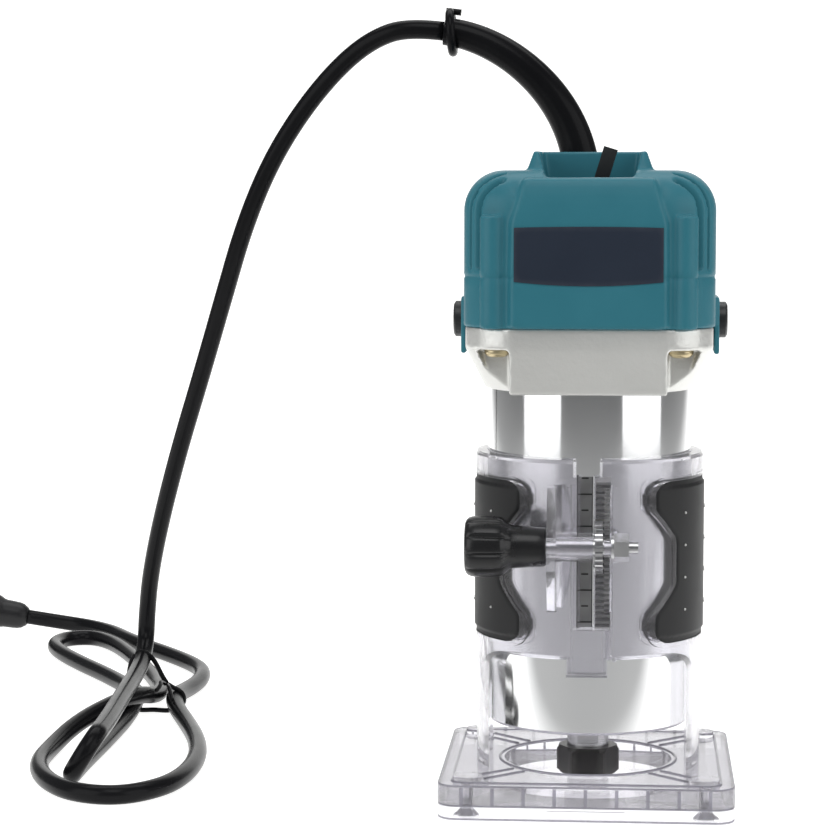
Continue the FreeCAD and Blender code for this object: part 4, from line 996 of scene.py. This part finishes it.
nut = {
    "corner": 10.2, "cornerRound": 0.985, "sideParts": 8,
    # height, and the share of its corner radius that the nut keeps there
    "rings": [(6.4, 0.90), (7.1, 1.0), (13.8, 1.0), (14.5, 0.955), (15.4, 0.93)],
    # along and radius of the hole, from its lower end
    "bore": [(0, 0), (0, 4.3), (4.0, 6.76), (20, 6.76), (20, 0)], "boreLow": 3,
}


# a six-sided nut with chamfered corners and a hole that widens upwards
def makeColletNut():
    rings = []
    corners = [Vector((math.cos(i * math.pi / 3), math.sin(i * math.pi / 3))) for i in range(7)]
    for z, shrink in nut["rings"]:
        ring = []
        for start, end in zip(corners, corners[1:]):
            for part in range(nut["sideParts"]):
                place = start.lerp(end, part / nut["sideParts"])
                place = place.normalized() * min(place.length, shrink * nut["cornerRound"])
                ring.append((place.x * nut["corner"], place.y * nut["corner"], z))
        rings.append(ring)
    piece = closedLoft("colletNut", rings)
    carve(piece, latheMesh("nutBore", nut["bore"], (0, 0, nut["boreLow"]), (0, 0, 1), 64))
    shadeFaces(piece, False)
    dress(piece, "blackSteel")
    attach(piece, "collet_nut")
    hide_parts("collet_nut")


plate = {
    "top": 11.0, "inset": 41.8, "corner": 4.0, "ring": 28.4, "bead": 0.45,
    "half": 45.8, "seams": (0.5, 4.6, 10.8), "seamCorner": 6.0, "seamThin": 0.7,
    # pairs of ribs on the diagonals: inner and outer end, and half the gap
    "diagonal": (21.5, 33.6), "diagonalGap": 2.6,
    # upright ribs along the four edges
    "ribs": 9, "ribPitch": 9.6, "ribFirst": -38.4, "ribOut": 45.9, "ribHeight": 7.6,
    "ribWide": 1.1, "ribDeep": 0.5, "ribHigh": 5.4,
}


# a square loop with round corners, round the origin at one height
def loopPath(half, corner, height):
    spots, steps = [], 8
    for quarter in range(4):
        base = quarter * math.pi / 2
        cx = math.copysign(half - corner, math.cos(base + math.pi / 4))
        cy = math.copysign(half - corner, math.sin(base + math.pi / 4))
        for step in range(steps + 1):
            angle = base + step / steps * math.pi / 2
            spots.append(Vector((cx + corner * math.cos(angle), cy + corner * math.sin(angle), height)) * mm)
    return spots


# a tube round a closed loop of points
def closedTube(name, line, radius, sides=10):
    points, faces = [], []
    count = len(line)
    for index, point in enumerate(line):
        tangent = (line[(index + 1) % count] - line[index - 1]).normalized()
        up = Vector((0, 0, 1)) if abs(tangent.z) < 0.7 else Vector((0, 1, 0))
        side = tangent.cross(up).normalized()
        up = side.cross(tangent)
        for corner in range(sides):
            angle = 2 * math.pi * corner / sides
            points.append(point + (side * math.cos(angle) + up * math.sin(angle)) * radius)
    for ring in range(count):
        after = (ring + 1) % count
        for corner in range(sides):
            following = (corner + 1) % sides
            faces.append((ring * sides + corner, after * sides + corner,
                          after * sides + following, ring * sides + following))
    return faceOutward(addObject(name, meshFrom(name, points, faces)))


# raised beads and ribs on the clear base
def makePlateDetail():
    bead, top = plate["bead"] * mm, plate["top"]
    beads = [closedTube("insetBead", loopPath(plate["inset"], plate["corner"], top), bead)]
    circle = [Vector((plate["ring"] * math.cos(a), plate["ring"] * math.sin(a), top)) * mm
              for a in [2 * math.pi * i / 96 for i in range(96)]]
    beads.append(closedTube("openingBead", circle, bead))
    for sx in (-1, 1):
        for sy in (-1, 1):
            start, end = (Vector((sx * reach, sy * reach, top)) * mm for reach in plate["diagonal"])
            across = Vector((-sy, sx, 0)).normalized() * plate["diagonalGap"] * mm
            for shift in (-1, 1):
                line = [start.lerp(end, i / 6) + across * shift for i in range(7)]
                beads.append(addObject("cornerRib", tubeMesh("cornerRib", line, bead, 10)))
    first, out, height, pitch = plate["ribFirst"], plate["ribOut"], plate["ribHeight"], plate["ribPitch"]
    wide, deep, high = plate["ribWide"], plate["ribDeep"], plate["ribHigh"]
    for sy in (-1, 1):
        beads.append(row("edgeRibs", rowOfBars, (first, sy * out, height), (pitch, 0, 0), plate["ribs"],
                         (wide, deep, high), "frostedPlastic"))
    for sx in (-1, 1):
        beads.append(row("sideRibs", rowOfBars, (sx * out, first, height), (0, pitch, 0), plate["ribs"],
                         (deep, wide, high), "frostedPlastic"))
    for height in plate["seams"]:
        path = loopPath(plate["half"], plate["seamCorner"], height)
        beads.append(closedTube("layerBead", path, plate["bead"] * plate["seamThin"] * mm))
    gather("plateDetail", "frostedPlastic", "base", beads)


hankTie = {
    "y": 118.5, "lean": 0.08, "leanFrom": 8, "radius": 0.9, "endRadius": 0.75,
    # the outline it hugs, across and up
    "round": [(-173.2, 4.0), (-172.6, 12.0), (-171.2, 19.2), (-167.4, 22.6), (-163.2, 19.6), (-158.2, 11.2),
              (-152.6, 7.6), (-152.0, 3.6), (-156.5, 1.0), (-163.0, 1.0), (-169.5, 1.1)],
    "ends": [[(-157.5, 117.0, 10.6), (-156.5, 112.0, 11.5), (-154.5, 107.0, 9.0), (-153.5, 103.5, 7.5)],
             [(-158.5, 117.0, 11.0), (-159.5, 112.5, 13.0), (-158.5, 108.0, 12.0), (-159.5, 104.0, 11.0)]],
}


# a closed line that passes softly through every corner
def smoothLoop(corners, parts):
    count = len(corners)
    line = []
    for index in range(count):
        a, b, c, e = (corners[(index + shift) % count] for shift in (-1, 0, 1, 2))
        for part in range(parts):
            t = part / parts
            line.append(0.5 * (2 * b + (c - a) * t + (2 * a - 5 * b + 4 * c - e) * t * t
                               + (3 * b - a - 3 * c + e) * t ** 3))
    return line


# the thin rubber tie round the waist of the bundle, with its two short ends
def makeHankTie():
    y, lean, middle = hankTie["y"], hankTie["lean"], hankTie["leanFrom"]
    corners = [Vector((x, y + lean * (z - middle), z)) * mm for x, z in hankTie["round"]]
    pieces = [closedTube("hankBand", smoothLoop(corners, 8), hankTie["radius"] * mm, 12)]
    for path in hankTie["ends"]:
        line = splineLine("tieEnd", path, 8)
        pieces.append(addObject("tieEnd", tubeMesh("tieEnd", line, hankTie["endRadius"] * mm, 10)))
    gather("hankTie", "cordSkin", "base", pieces)


plug = {
    "start": (-250.0, 293.6, 6.8), "before": (-234.5, 294.2, 4.4),
    # along and radius, from the end of the cord
    "profile": [
        (-1.0, 0.0), (-1.0, 3.4), (-0.6, 4.0), (0.2, 4.5), (1.2, 5.2), (3.0, 5.7), (6.0, 5.9),
        (9.0, 6.0), (10.2, 6.3), (12.0, 7.3), (15.0, 8.2), (20.0, 9.0), (26.0, 10.0), (31.0, 10.6),
        (34.0, 10.8), (36.0, 10.6), (36.8, 10.2), (37.0, 9.6), (37.0, 0.0),
    ],
    "ribsFrom": 12.0, "ribsTo": 33.0, "ribs": 12, "ribDeep": 0.35,
}


# a round plug body with fine grip ribs
def makePlug():
    way = (Vector(plug["start"]) - Vector(plug["before"])).normalized()
    def ribs(along, radius, angle):
        if plug["ribsFrom"] < along < plug["ribsTo"]:
            return radius - plug["ribDeep"] * max(0.0, math.cos(angle * plug["ribs"])) ** 3
        return radius

    body = latheMesh("plugBody", plug["profile"], plug["start"], way, 96, ribs)
    dress(body, "plugRubber")
    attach(body, "base")
    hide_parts("plug_body")
    return body


makeCord()
print("cord made")
makeHead()
makeLabel()
makeCasting()
print("head, label and casting made")
makeScaleMarks()
makeHeadScrews()
makeKnob()
makeGrip(1, "grip_right")
makeGrip(-1, "grip_left")
makeColletNut()
makePlateDetail()
makeHankTie()
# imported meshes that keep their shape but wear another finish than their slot's
otherFinish = {
    "lock_nut": "groundSteel", "lock_washer": "groundSteel", "base_screws": "groundSteel",
    "depth_scale": "scalePlate", "gear_rack": "rackTeeth", "base_protector": "protectorPlastic",
}
for name, finish in otherFinish.items():
    dress(nodes[name], finish)
print("scale, screws, knob, grips, nut, plate and tie made")
